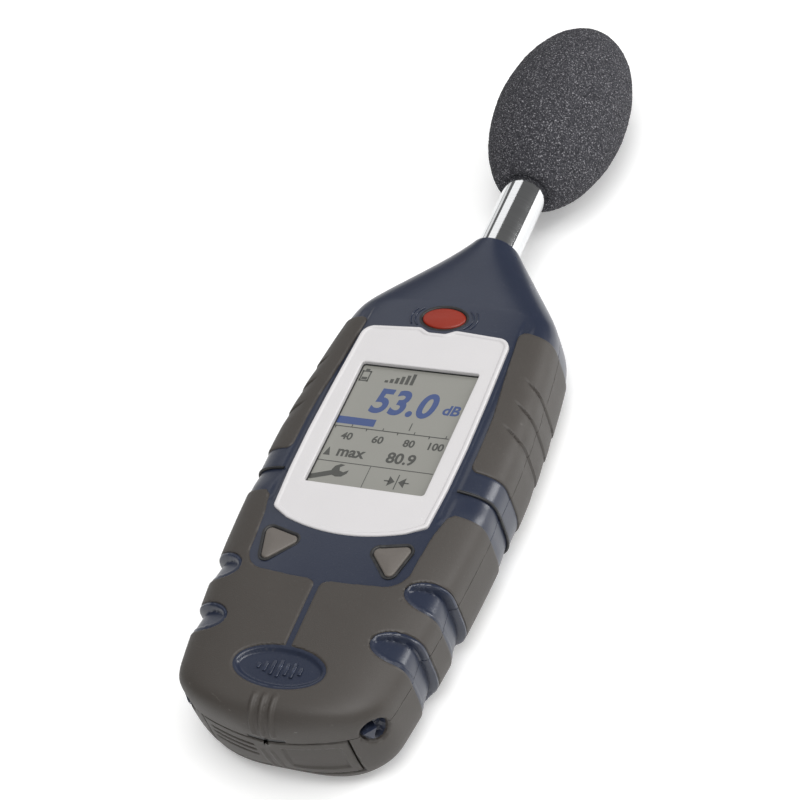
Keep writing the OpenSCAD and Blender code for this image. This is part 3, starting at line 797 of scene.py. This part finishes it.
def turned_finish(name, color, rough, stretch, bump):
    """Turned or polished metal: fine rings round Y, a slight haze and a patchy gloss."""
    material, tree, shader = new_finish(name)
    place = tree.nodes.new("ShaderNodeTexCoord")
    squeeze = tree.nodes.new("ShaderNodeMapping")
    squeeze.inputs["Scale"].default_value = stretch
    tree.links.new(place.outputs["Object"], squeeze.inputs["Vector"])
    rings = tree.nodes.new("ShaderNodeTexNoise")
    rings.inputs["Scale"].default_value = 1.0
    rings.inputs["Detail"].default_value = 3
    tree.links.new(squeeze.outputs["Vector"], rings.inputs["Vector"])
    handled = use_group(tree, marks_group, Amount=0.1)
    darker = tuple(0.86 * c for c in color)
    tree.links.new(mix_color(tree, rings.outputs["Fac"], darker, color), shader.inputs["Base Color"])
    gloss = math_node(tree, "ADD", handled.outputs["Gloss"], rough)
    spread = math_node(tree, "MULTIPLY", rings.outputs["Fac"], 0.06)
    tree.links.new(math_node(tree, "ADD", gloss, spread, True), shader.inputs["Roughness"])
    shader.inputs["Metallic"].default_value = 1.0
    add_relief(tree, shader, rings.outputs["Fac"], bump, 0.00005)
    return material


polished_stem = turned_finish("polished stem", (0.8, 0.81, 0.82), 0.05, (60, 2500, 60), 0.08)
# Black rubber for the stem seal and the key gaskets; the same black also paints shade in the window lip,
# the band steps and the nail slot.
black_rubber_and_shade = moulded_finish(
    "black rubber and painted shade", (0.011, 0.011, 0.012), (0.02, 0.02, 0.021), (0.035, 0.035, 0.035), 0.5, 3200, 0.35
)

seal_r = stem_r + 0.5
ring_profile = [(seal_r + 0.03, nose_len - 1.4), (seal_r + 0.03, nose_len - 0.15)]
ring_profile += rounded_end(collar_r - proud - 0.35, nose_len - 0.35, 0.35, 90, 0)
ring_profile += [(collar_r - proud, nose_len - 1.2), (seal_r + 0.03, nose_len - 1.4)]
smooth_piece("nose_ring", turned(ring_profile, axis_h, 120), "meter", navy_plastic)

seal_profile = [(stem_r + 0.02, nose_len - 1.5), (stem_r + 0.02, nose_len - 0.2)]
seal_profile += rounded_end(stem_r + 0.25, nose_len - 0.25, 0.2, 150, 30)
seal_profile += [(seal_r, nose_len - 0.5), (seal_r, nose_len - 1.5), (stem_r + 0.02, nose_len - 1.5)]
smooth_piece(
    "stem_seal_ring", turned(seal_profile, axis_h, 96), "meter", black_rubber_and_shade, ["stem_seal"]
)

stem_profile = [(stem_r - 1, stem_low[1]), (stem_r, stem_low[1]), (stem_r, nose_len + 3)]
stem_profile += [(stem_r, 0.5 * (nose_len + stem_high[1])), (stem_r, stem_high[1] - 0.3)]
stem_profile += [(stem_r - 0.3, stem_high[1]), (stem_r - 1, stem_high[1]), (stem_r - 1, stem_low[1])]
smooth_piece(
    "microphone_stem", turned(stem_profile, axis_h, 128), "meter", polished_stem,
    ["mic_stem"],
)

# ---- Foam windscreen -------------------------------------------------------------------
# An egg of charcoal open-cell foam with a bore, pushed over the microphone. Its cut cells
# leave a pitted skin. The light that the cell walls catch is painted as pale specks, and the
# shade in the pits is painted near black.

foam_low, foam_high = mm_box("windscreen")
foam_r = (foam_high[0] - foam_low[0]) / 2
foam_base_r = stem_r + 2.2
foam_bore_r = stem_r + 0.06
foam_steps = 330


def foam_form():
    squash = math.sqrt(1 - (foam_base_r / foam_r) ** 2)
    half = (foam_high[1] - foam_low[1]) / (1 + squash)
    middle = foam_high[1] - half
    first = math.acos(-squash)
    base_y = middle - half * squash
    profile = [(foam_bore_r, base_y + 9), (foam_bore_r, base_y + 0.5)]
    profile += [(foam_bore_r + 0.5, base_y + 0.05), (foam_base_r - 0.9, base_y + 0.1)]
    turns = np.linspace(first - 0.02, 0.002, 225)
    profile += [(foam_r * math.sin(t), middle + half * math.cos(t)) for t in turns]
    return profile


def roughen_foam(bm, low, high):
    bm.normal_update()
    for vert in bm.verts:
        p = vert.co / MM
        if math.hypot(p.x, p.z - axis_h) < foam_bore_r + 0.3 and p.y < low[1] + 12:
            continue
        pits = noise.noise(p * 1.15) * 0.16 + noise.noise(p * 2.4) * 0.13
        broad = noise.noise(p * 0.16) * 0.18
        vert.co += vert.normal * (pits + broad - 0.3) * MM


def foam_finish():
    material, tree, shader = new_finish("acoustic foam")
    place = tree.nodes.new("ShaderNodeTexCoord")
    cells = tree.nodes.new("ShaderNodeTexVoronoi")
    cells.inputs["Scale"].default_value = 1500
    cells.inputs["Randomness"].default_value = 1
    tree.links.new(place.outputs["Object"], cells.inputs["Vector"])
    fleck = noise_node(tree, 2300.0, 2, 0.7)
    patch = noise_node(tree, 900.0, 3, 0.6)
    # Pale flecks: painted highlight where the cell walls catch the light.
    fleck_glint = math_node(tree, "MULTIPLY", math_node(tree, "SUBTRACT", fleck, 0.555), 7, True)
    deep = math_node(tree, "SUBTRACT", cells.outputs["Distance"], 0.25)
    # Near black in the pits: painted shade where the cells are deep.
    pit_shade = math_node(tree, "MULTIPLY", deep, 1.6, True)
    base = mix_color(tree, patch, (0.034, 0.034, 0.04), (0.085, 0.085, 0.096))
    base = mix_color(tree, fleck_glint, base, (0.5, 0.49, 0.52))
    base = mix_color(tree, math_node(tree, "MULTIPLY", pit_shade, 0.6), base, (0.012, 0.012, 0.015))
    tree.links.new(base, shader.inputs["Base Color"])
    shader.inputs["Roughness"].default_value = 0.95
    shader.inputs["Specular IOR Level"].default_value = 0.2
    height = math_node(tree, "SUBTRACT", fleck, math_node(tree, "MULTIPLY", cells.outputs["Distance"], 0.8))
    add_relief(tree, shader, height, 0.9, 0.0006)
    return material


foam_mesh = turned(foam_form(), axis_h, foam_steps)
roughen_foam(foam_mesh, foam_low, foam_high)
foam_piece = smooth_piece(
    "foam_windscreen", foam_mesh, "foam_ball", foam_finish(), ["windscreen"], sharp=75
)

# ---- Display surround --------------------------------------------------------------------
# A pale satin bezel with bowed sides, a curved foot and a scallop under the power button.
# A raised rim runs round it, and the opening for the glass has small rounded corners.

lcd_half_w, lcd_half_h = 17.5, 21.0
surround_half_w = surround_high[0]
surround_top = surround_high[1]
surround_foot = -surround_low[1]


def surround_outline():
    w, top, foot = surround_half_w, surround_top, surround_foot
    half = [(x, top - 1.5 * float(ease((5.8 - x) / 3.8))) for x in np.linspace(0, 5.8, 13)]
    half += corner((w - 4.9, top - 4.7), 3.8, 84, 8, 12)
    half += [(w - 0.4, 12), (w, -4), (w - 0.2, -18)]
    half += corner((w - 2.5, -29.6), 1.6, -8, -62, 8)
    half += [((w - 5) * a, -foot + 3.4 * a * a) for a in np.linspace(1, 0, 17)[1:]]
    return half + [(-x, y) for x, y in half[-2:0:-1]]


def window_outline(grow=0.0, r=0.9):
    half = corner((lcd_half_w - r, lcd_half_h - r), r + grow, 90, 0)
    half += corner((lcd_half_w - r, -lcd_half_h + r), r + grow, 0, -90)
    return half + [(-x, y) for x, y in half[::-1]]


def spaced_ring(outline, count):
    """Points spaced evenly by angle about the display centre, clockwise from the top."""
    points = np.array(outline + outline[:1], float)
    fine = np.concatenate([np.linspace(a, b, 60, endpoint=False) for a, b in zip(points, points[1:])])
    turn = np.arctan2(fine[:, 0], fine[:, 1]) % (2 * math.pi)
    order = np.argsort(turn)
    want = np.linspace(0, 2 * math.pi, count, endpoint=False)
    turn, fine = turn[order], fine[order]
    return np.stack([np.interp(want, turn, fine[:, i], period=2 * math.pi) for i in (0, 1)], 1)


def moved_in(ring, distance):
    ahead, behind = np.roll(ring, -1, axis=0), np.roll(ring, 1, axis=0)
    run = ahead - behind
    run /= np.maximum(np.linalg.norm(run, axis=1, keepdims=True), 1e-9)
    return ring + distance * np.stack([run[:, 1], -run[:, 0]], 1)


def stacked(rings):
    """Skin over rings of points, each as long as the others, from the first to the last."""
    count, last = len(rings[0]), len(rings) - 1
    bm = bmesh.new()
    bmesh.ops.create_grid(bm, x_segments=count, y_segments=last, size=1)
    for vert in bm.verts:
        step = round((vert.co.x + 1) / 2 * count) % count
        level = round((vert.co.y + 1) / 2 * last)
        vert.co = Vector(rings[level][step]) * MM
    bmesh.ops.remove_doubles(bm, verts=bm.verts, dist=1e-7)
    bmesh.ops.recalc_face_normals(bm, faces=bm.faces)
    return bm


def at_height(ring, z):
    return np.column_stack([ring, np.full(len(ring), z)])


def make_surround():
    outer = spaced_ring(surround_outline(), 720)
    inner = spaced_ring(window_outline(), 720)
    seat, top = surround_low[2], surround_high[2]
    rings = [at_height(moved_in(outer, 0.02), seat - 0.3)]
    for turn in np.linspace(0, 90, 7):
        t = math.radians(turn)
        rings.append(at_height(moved_in(outer, 0.45 * (1 - math.cos(t))), top - 0.45 + 0.45 * math.sin(t)))
    for inset, drop in ((0.85, 0.0), (0.97, 0.03), (1.1, 0.12), (1.25, 0.22), (1.38, 0.25)):
        rings.append(at_height(moved_in(outer, inset), top - drop))
    field = moved_in(outer, 1.5)
    frame_edge = moved_in(inner, -0.35)
    for t in (0.0, 0.35, 0.7, 1.0):
        rings.append(at_height(field * (1 - t) + frame_edge * t, top - 0.25))
    for turn in np.linspace(20, 90, 5):
        t = math.radians(turn)
        rings.append(at_height(moved_in(inner, -0.35 * (1 - math.sin(t))), top - 0.6 + 0.35 * math.cos(t)))
    rings.append(at_height(inner, seat - 0.3))
    return stacked(rings[::-1])


surround_plastic = moulded_finish(
    "surround plastic", (0.6, 0.585, 0.59), (0.65, 0.635, 0.64), (0.72, 0.71, 0.71), 0.42, 3000, 0.12,
    marks=0.05,
)
smooth_piece(
    "display_bezel", make_surround(), "meter", surround_plastic, ["display_surround"], 50
)

# ---- Display face ----------------------------------------------------------------------
# A reflective liquid crystal display under a satin window: grey-green ground, dark grey
# figures and a blue reading with its bar. The readings are plain numbers and symbols.

window_high = mm_box("display_window")[1]
face_z = window_high[2]


def display_finish(name, dark, light, rough):
    material, tree, shader = new_finish(name)
    cells = use_group(tree, grain_group, Scale=4200, Swell=0.6)
    handled = use_group(tree, marks_group, Amount=0.08)
    tree.links.new(mix_color(tree, cells.outputs["Tint"], dark, light), shader.inputs["Base Color"])
    gloss = math_node(tree, "ADD", handled.outputs["Gloss"], rough, True)
    tree.links.new(gloss, shader.inputs["Roughness"])
    shader.inputs["Coat Weight"].default_value = 0.35
    shader.inputs["Coat Roughness"].default_value = 0.12
    add_relief(tree, shader, cells.outputs["Height"], 0.05, 0.00004)
    return material


def flat_shape(outline, z, thickness=0.0):
    """Plate from a closed outline in millimetres, its top at z."""
    bm = bmesh.new()
    area = sum(a[0] * b[1] - b[0] * a[1] for a, b in zip(outline, outline[1:] + outline[:1]))
    corners = outline if area > 0 else outline[::-1]
    bm.faces.new([bm.verts.new((x * MM, y * MM, z * MM)) for x, y in corners])
    bm.normal_update()
    if thickness:
        made = bmesh.ops.extrude_face_region(bm, geom=bm.faces[:])
        lowered = [item for item in made["geom"] if isinstance(item, bmesh.types.BMVert)]
        bmesh.ops.translate(bm, vec=(0, 0, -thickness * MM), verts=lowered)
        bmesh.ops.recalc_face_normals(bm, faces=bm.faces)
    return bm


def add_mesh(target, mesh):
    target.from_mesh(mesh)
    bpy.data.meshes.remove(mesh)


def add_shape(target, shape):
    mesh = bpy.data.meshes.new("part")
    shape.to_mesh(mesh)
    shape.free()
    add_mesh(target, mesh)


def add_box(target, x0, x1, y0, y1, z):
    add_shape(target, flat_shape([(x0, y0), (x1, y0), (x1, y1), (x0, y1)], z))


def curve_mesh(data):
    """Mesh of a bevelled curve or of a word, which is then dropped."""
    holder = bpy.data.objects.new("curve", data)
    bpy.context.collection.objects.link(holder)
    bpy.context.view_layer.update()
    evaluated = holder.evaluated_get(bpy.context.evaluated_depsgraph_get())
    mesh = bpy.data.meshes.new_from_object(evaluated)
    bpy.data.objects.remove(holder)
    bpy.data.curves.remove(data)
    return mesh


def add_word(target, word, center, height, z, shear=0.0, weight=0.0, spread=1.0, spacing=1.0):
    """Sets a word as flat mesh, its middle at center and its capitals at the height given."""
    data = bpy.data.curves.new("word", "FONT")
    data.body = word
    data.size = height / 0.7
    data.shear = shear
    data.offset = weight
    data.space_character = spacing
    data.resolution_u = 6
    mesh = curve_mesh(data)
    xs = [v.co.x for v in mesh.vertices]
    ys = [v.co.y for v in mesh.vertices]
    middle = Vector(((min(xs) + max(xs)) / 2, (min(ys) + max(ys)) / 2, 0))
    for v in mesh.vertices:
        flat = v.co - middle
        v.co = Vector((center[0] + flat.x * spread, center[1] + flat.y, z)) * MM
    add_mesh(target, mesh)


def spanner_outline():
    handle = [(-5.3, -1.1), (-4.6, -1.9), (-3.7, -1.7), (1.4, 0.2), (2.6, -0.2), (4.2, 0.0), (5.4, 1.2)]
    jaw = [(5.6, 2.4), (4.2, 1.5), (3.0, 1.9), (2.7, 3.0), (3.9, 3.9), (2.6, 4.1), (1.2, 3.3), (0.7, 2.1)]
    return handle + jaw + [(0.7, 1.7), (-4.4, -0.2), (-5.2, -0.4)]


BATTERY_SIGN = (
    (-16.9, -14.1, 15.2, 15.6), (-16.9, -14.1, 18.5, 18.9), (-16.9, -16.5, 15.2, 18.9),
    (-14.5, -14.1, 15.2, 18.9), (-16.1, -14.9, 18.9, 19.6), (-16.3, -14.7, 15.8, 16.7),
)
DISPLAY_LINES = (
    (-17.4, 16.4, -0.95, -0.65), (4.25, 4.55, 0.3, 2.9), (-17.4, 16.6, -12.85, -12.6),
    (-1.55, -1.35, -20.2, -12.9), (7.45, 7.75, -19.2, -14.3),
)
SCALE_WORDS = (("40", -12.3), ("60", -3.1), ("80", 6.1), ("100", 14.0))
scale_start, scale_step = -16.8, 4.62
range_x, range_y = 7.6, -16.75


def draw_dark_ink(z):
    bm = bmesh.new()
    for bounds in BATTERY_SIGN + DISPLAY_LINES:
        add_box(bm, *bounds, z)
    for step in range(6):
        add_box(bm, -9.2 + 1.5 * step, -8.2 + 1.5 * step, 15.6, 16.4 + 0.62 * step, z)
    for step in range(8):
        x = scale_start + scale_step * step
        low, high = (-1.6, -0.7) if step % 2 == 0 else (-0.7, 0.1)
        add_box(bm, x - 0.14, x + 0.14, low, high, z)
    for word, x in SCALE_WORDS:
        add_word(bm, word, (x, -3.9), 2.3, z, weight=0.1)
    add_word(bm, "max", (-8.7, -9.6), 3.3, z, weight=0.14)
    add_word(bm, "80.9", (5.9, -9.2), 3.4, z, weight=0.14)
    add_shape(bm, flat_shape([(-16.6, -10.9), (-14.6, -10.9), (-15.6, -8.0)], z))
    add_shape(bm, flat_shape([(x - 12.6, y - 17.4) for x, y in spanner_outline()], z))
    for way in (-1, 1):
        tip, tail = range_x + 0.5 * way, range_x + 3.6 * way
        head = [(tip, range_y), (tip + 1.9 * way, range_y + 1.65), (tip + 1.9 * way, range_y - 1.65)]
        add_shape(bm, flat_shape(head, z))
        low, high = sorted((tip + 1.6 * way, tail))
        add_box(bm, low, high, range_y - 0.2, range_y + 0.2, z)
    return bm


def draw_blue_ink(z):
    bm = bmesh.new()
    add_word(bm, "53.0", (-0.4, 9.2), 8.1, z, shear=0.14, weight=0.36, spread=0.9, spacing=1.05)
    add_word(bm, "dB", (13.7, 8.6), 3.2, z, shear=0.12, weight=0.14)
    add_box(bm, -17.4, -6.1, 0.15, 2.6, z)
    return bm


def make_window_shade_ring():
    """Thin black lip between the surround and the face: painted shade along the window's edge."""
    ring = spaced_ring(window_outline(), 480)
    steps = ((-0.1, -0.2), (-0.05, 0.1), (0.24, 0.06), (0.28, -0.2))
    return stacked([at_height(moved_in(ring, inset), face_z + rise) for inset, rise in steps])


lcd_ground = display_finish("display ground", (0.225, 0.223, 0.2), (0.25, 0.248, 0.225), 0.38)
lcd_ink = display_finish("display dark figures", (0.042, 0.043, 0.038), (0.055, 0.056, 0.05), 0.4)
lcd_blue = display_finish("display blue figures", (0.028, 0.055, 0.17), (0.035, 0.066, 0.19), 0.4)
ink_z = face_z - 0.225
ground = flat_shape([(float(x), float(y)) for x, y in window_outline(0.6)], face_z - 0.25, 0.4)
smooth_piece("display_face", ground, "meter", lcd_ground, ["display_window"], 30)
smooth_piece("display_figures", draw_dark_ink(ink_z), "meter", lcd_ink, sharp=30)
# The black lip round the window is painted shade, where the surround's inner wall is in shadow.
smooth_piece("window_shade_ring", make_window_shade_ring(), "meter", black_rubber_and_shade, sharp=50)
smooth_piece("display_reading", draw_blue_ink(ink_z), "meter", lcd_blue, sharp=30)

# ---- Keys --------------------------------------------------------------------------------
# Domed rubber caps that stand through the case: a red-orange oval power key and two warm
# grey three-cornered soft keys, each with a dark gap round it.


def domed_cap(ring, low, top, roll, crown):
    """Cap with straight sides, a rolled edge and a crowned top."""
    middle = ring.mean(axis=0)
    rings = [at_height(ring, low)]
    for turn in np.linspace(0, 80, 7):
        t = math.radians(turn)
        edge = moved_in(ring, roll * (1 - math.cos(t)))
        rings.append(at_height(edge, top - crown - roll * (1 - math.sin(t))))
    edge = moved_in(ring, roll * 1.02)
    for s in (0.93, 0.84, 0.7, 0.52, 0.33, 0.15, 0.0):
        rings.append(at_height(middle + (edge - middle) * s, top - crown * s * s))
    return stacked(rings)


def ring_about(outline, count):
    """Evenly spaced points round an outline, clockwise."""
    points = np.array(outline + outline[:1], float)
    step = np.linalg.norm(np.diff(points, axis=0), axis=1)
    run = np.concatenate([[0], np.cumsum(step)])
    want = np.linspace(0, run[-1], count, endpoint=False)
    ring = np.stack([np.interp(want, run, points[:, i]) for i in (0, 1)], 1)
    area = np.sum(ring[:, 0] * np.roll(ring[:, 1], -1) - np.roll(ring[:, 0], -1) * ring[:, 1])
    return ring[::-1] if area > 0 else ring


red_key_rubber = moulded_finish(
    "red key rubber", (0.225, 0.015, 0.004), (0.275, 0.021, 0.006), (0.35, 0.05, 0.02), 0.42, 2600, 0.2
)
key_rubber = moulded_finish(
    "key rubber", (0.113, 0.1, 0.089), (0.142, 0.127, 0.113), (0.2, 0.18, 0.16), 0.5, 3000, 0.25
)
key_low = mm_box("soft_key_right")[0][2]
key_top = power_high[2]
soft_ring = ring_about(key_outline(), 160)
for side, side_name in ((1, "right"), (-1, "left")):
    ring = soft_ring * np.array([side, 1])
    ring = ring if side > 0 else ring[::-1]
    smooth_piece(
        f"soft_key_{side_name}_cap", domed_cap(ring, key_low, key_top - 0.15, 0.55, 0.3),
        f"{side_name}_key", key_rubber, [f"soft_key_{side_name}"],
    )
power_ring = ring_about(ellipse((0, power_y), power_a, power_b, 160), 160)
smooth_piece(
    "power_cap", domed_cap(power_ring, key_low, key_top, 0.6, 0.4), "power_key", red_key_rubber,
    ["power_button"],
)


def gasket(ring, low, top):
    """Thin rubber lip that fills the gap round a key."""
    rings = [at_height(moved_in(ring, 0.05), low), at_height(moved_in(ring, 0.05), top - 0.5)]
    rings += [at_height(moved_in(ring, -0.2), top - 0.1), at_height(moved_in(ring, -0.55), top + 0.08)]
    rings += [at_height(moved_in(ring, -0.9), top), at_height(moved_in(ring, -1.0), low)]
    return stacked(rings)


lip_top = case_t - proud
gaskets = bmesh.new()
for side in (1, -1):
    ring = soft_ring * np.array([side, 1])
    add_shape(gaskets, gasket(ring if side > 0 else ring[::-1], key_low + 1.5, lip_top + 0.05))
add_shape(gaskets, gasket(power_ring, key_low + 1.5, lip_top + 0.05))
smooth_piece("key_gaskets", gaskets, "meter", black_rubber_and_shade, sharp=60)

# ---- Socket flap ---------------------------------------------------------------------------
# A curved rubber flap closes the sockets in the tail: one sunk panel, a ribbed half, and
# the thumb ribs carried over its middle. It is bound to its own body. A slot above it takes
# a fingernail; its depth is painted shade, a black sheet.


panel_depth = 0.45


def flap_keep(p):
    x, y, z = np.abs(p[:, 0]), p[:, 1], p[:, 2]
    return least(flap_high[0] - x, z - flap_low[2], flap_high[2] - z, -tail_len + 9.5 - y)


def flap_lift(p, d):
    x, z = p[:, 0], p[:, 2]
    lift = lip(d, 0.5, 0.35)
    panel = least(x - 3.2, 18.6 - x, z - flap_low[2] - 2.4, flap_high[2] - 2.2 - z)
    lift -= panel_depth * ease(panel / 0.5)
    ribbed = ease((-4.5 - x) / 0.8) * ease((x + 18.8) / 0.8)
    for line in (3.0, 5.2, 7.4):
        lift -= panel_depth * ribbed * np.clip(1 - ((flap_high[2] - z - line) / 0.5) ** 2, 0, 1)
    for rib in (-2.8, 0.0):
        lift += 0.3 * np.clip(1 - ((x - rib) / 0.8) ** 2, 0, 1) * ease((flap_high[2] - 3.5 - z) / 1.5)
    return lift


flap_sheet = case_sheet(False, 0, (-tail_len, -tail_len + 10), 0.4, flap_keep, flap_lift)
wall_piece(
    "socket_flap_skin", flap_sheet, "socket_flap", grip_rubber, ["connector_cover"], 1.5
)


def nail_slot_shade_keep(p):
    """Black floor of the slot above the flap, a little wider than the slot in the rubber: painted shade for
    the slot's depth.
    """
    return least(slot_half_w + 0.2 - np.abs(p[:, 0]), axis_h + slot_h + 0.2 - p[:, 2], slot_y - p[:, 1])


# The slot's depth is painted shade: a black sheet sunk just below the rubber.
slot_shade_sheet = case_sheet(
    True, -0.3, (-tail_len + 0.3, -tail_len + 6), 0.3, nail_slot_shade_keep, lambda p, d: 0 * d
)
wall_piece("nail_slot_shade", slot_shade_sheet, "meter", black_rubber_and_shade, [], 0.3)

# ---- Marks on the front ----------------------------------------------------------------------
# Two pairs of fine raised arcs stand either side of the power key, and a row of plain
# level bars stands in the badge seat. They are moulded with the front half.


def surface_z(x, y, grow):
    rounding = float(ease((y - shoulder_y + 6) / (nose_len - shoulder_y + 6)))
    power = front_power + (2 - front_power) * rounding
    w, h = float(plan_w(y, grow)), float(side_h(y, grow, True)) - split_gap
    return axis_h + split_gap + h * (1 - (abs(x) / w) ** power) ** (1 / power)


def raised_line(target, points, r):
    """Round wire laid through the points."""
    data = bpy.data.curves.new("line", "CURVE")
    data.dimensions = "3D"
    data.bevel_depth = r * MM
    data.bevel_resolution = 3
    data.use_fill_caps = True
    spline = data.splines.new("POLY")
    spline.points.add(len(points) - 1)
    for point, place in zip(spline.points, points):
        point.co = (*[c * MM for c in place], 1)
    add_mesh(target, curve_mesh(data))


marks = bmesh.new()
for side in (-1, 1):
    for a, b, sweep in ((8.6, 5.3, 36), (9.9, 6.4, 27)):
        turns = np.radians(np.linspace(-sweep, sweep, 18))
        line = [(side * a * math.cos(t), power_y + b * math.sin(t)) for t in turns]
        raised_line(marks, [(x, y, surface_z(x, y, -proud) + 0.05) for x, y in line], 0.26)
smooth_piece("power_marks", marks, "meter", navy_plastic, sharp=80)

BAR_HEIGHTS = (1.6, 2.8, 4.2, 5.0, 3.6, 4.4, 2.2)
bar_pitch, bar_half_w = 1.95, 0.48
badge_floor = surface_z(0, badge_y, -proud) - badge_depth
bars = bmesh.new()
for step, height in enumerate(BAR_HEIGHTS):
    x = bar_pitch * (step - (len(BAR_HEIGHTS) - 1) / 2)
    low, high = badge_y - height / 2, badge_y + height / 2
    left, right = x - bar_half_w, x + bar_half_w
    bar = [(left, low), (right, low), (right, high), (left, high)]
    shape = flat_shape(bar, badge_floor + 0.4, 0.7)
    bmesh.ops.bevel(
        shape, geom=shape.edges, offset=0.12 * MM, segments=2, profile=0.5, affect="EDGES", material=-1
    )
    add_shape(bars, shape)
smooth_piece("badge_bars", bars, "meter", navy_plastic, sharp=60)

# ---- Band step shade -------------------------------------------------------------------------
# A black line lies in the step of each bare blue band, from the front face round the side to
# the back: painted shade for the undercut at the step.

step_shade = bmesh.new()
for side in (-1, 1):
    for top in (True, False):
        path = []
        for angle in np.linspace(0.0, 1.2, 120):
            base = form_point(np.array([angle]), np.array([band_line_y + 0.1]), -proud - 0.12, top)[0]
            if base[0] < 25.2 or base[2] < 4:
                break
            path.append((side * base[0], base[1], base[2]))
        raised_line(step_shade, path, 0.4)
# These black lines are painted shade along the step of the band.
smooth_piece("band_step_shade", step_shade, "meter", black_rubber_and_shade, sharp=80)

# ---- Inner parts and fittings ----------------------------------------------------------------
# Boards, battery tray, cells, sockets, screws and the brass tripod bush keep the shapes of
# the design and get their own finishes.


def board_finish():
    material, tree, shader = new_finish("circuit board")
    place = tree.nodes.new("ShaderNodeTexCoord")
    tracks = tree.nodes.new("ShaderNodeTexBrick")
    tracks.inputs["Scale"].default_value = 260
    tracks.inputs["Mortar Size"].default_value = 0.06
    tree.links.new(place.outputs["Object"], tracks.inputs["Vector"])
    tracks.inputs["Color1"].default_value = (0.012, 0.1, 0.045, 1)
    tracks.inputs["Color2"].default_value = (0.014, 0.12, 0.055, 1)
    tracks.inputs["Mortar"].default_value = (0.03, 0.19, 0.09, 1)
    handled = use_group(tree, marks_group, Amount=0.15)
    dusty = mix_color(tree, handled.outputs["Dust"], tracks.outputs["Color"], (0.4, 0.4, 0.38))
    tree.links.new(dusty, shader.inputs["Base Color"])
    tree.links.new(math_node(tree, "ADD", handled.outputs["Gloss"], 0.35, True), shader.inputs["Roughness"])
    return material


def dress(material, *nodes):
    for node in nodes:
        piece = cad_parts[node]
        for place in piece.material_slots:
            place.material = material


black_plastic = moulded_finish(
    "black plastic", (0.018, 0.018, 0.02), (0.032, 0.032, 0.035), (0.07, 0.07, 0.072), 0.42, 2800, 0.25
)
light_guide = moulded_finish(
    "light guide", (0.68, 0.7, 0.67), (0.78, 0.8, 0.76), (0.85, 0.86, 0.83), 0.45, 2400, 0.1
)
plated_steel = turned_finish("plated steel", (0.62, 0.63, 0.65), 0.28, (900, 900, 900), 0.15)
socket_alloy = turned_finish("socket alloy", (0.42, 0.43, 0.45), 0.35, (80, 2200, 80), 0.2)
microphone_metal = turned_finish("microphone metal", (0.6, 0.61, 0.62), 0.22, (80, 2400, 80), 0.15)
bush_brass = turned_finish("bush brass", (0.62, 0.42, 0.16), 0.25, (500, 500, 2600), 0.2)
cell_wrap = moulded_finish(
    "cell wrap", (0.42, 0.28, 0.06), (0.5, 0.34, 0.08), (0.6, 0.5, 0.3), 0.3, 1500, 0.05, metal=0.4
)
dress(board_finish(), "main_board", "preamp_board", "connector_board")
dress(black_plastic, "board_chips", "tact_switches", "battery_tray", "power_socket", "output_socket")
dress(light_guide, "lcd_backlight", "lcd_frame")
dress(lcd_ground, "lcd_panel")
dress(plated_steel, "shield_can", "battery_springs", "battery_plates", "case_screws", "usb_socket")
dress(socket_alloy, "stem_socket")
dress(microphone_metal, "mic_capsule", "mic_grid")
dress(cell_wrap, "battery_cells")
dress(bush_brass, "tripod_bush")
dress(navy_plastic, "battery_cover", "lanyard_posts")
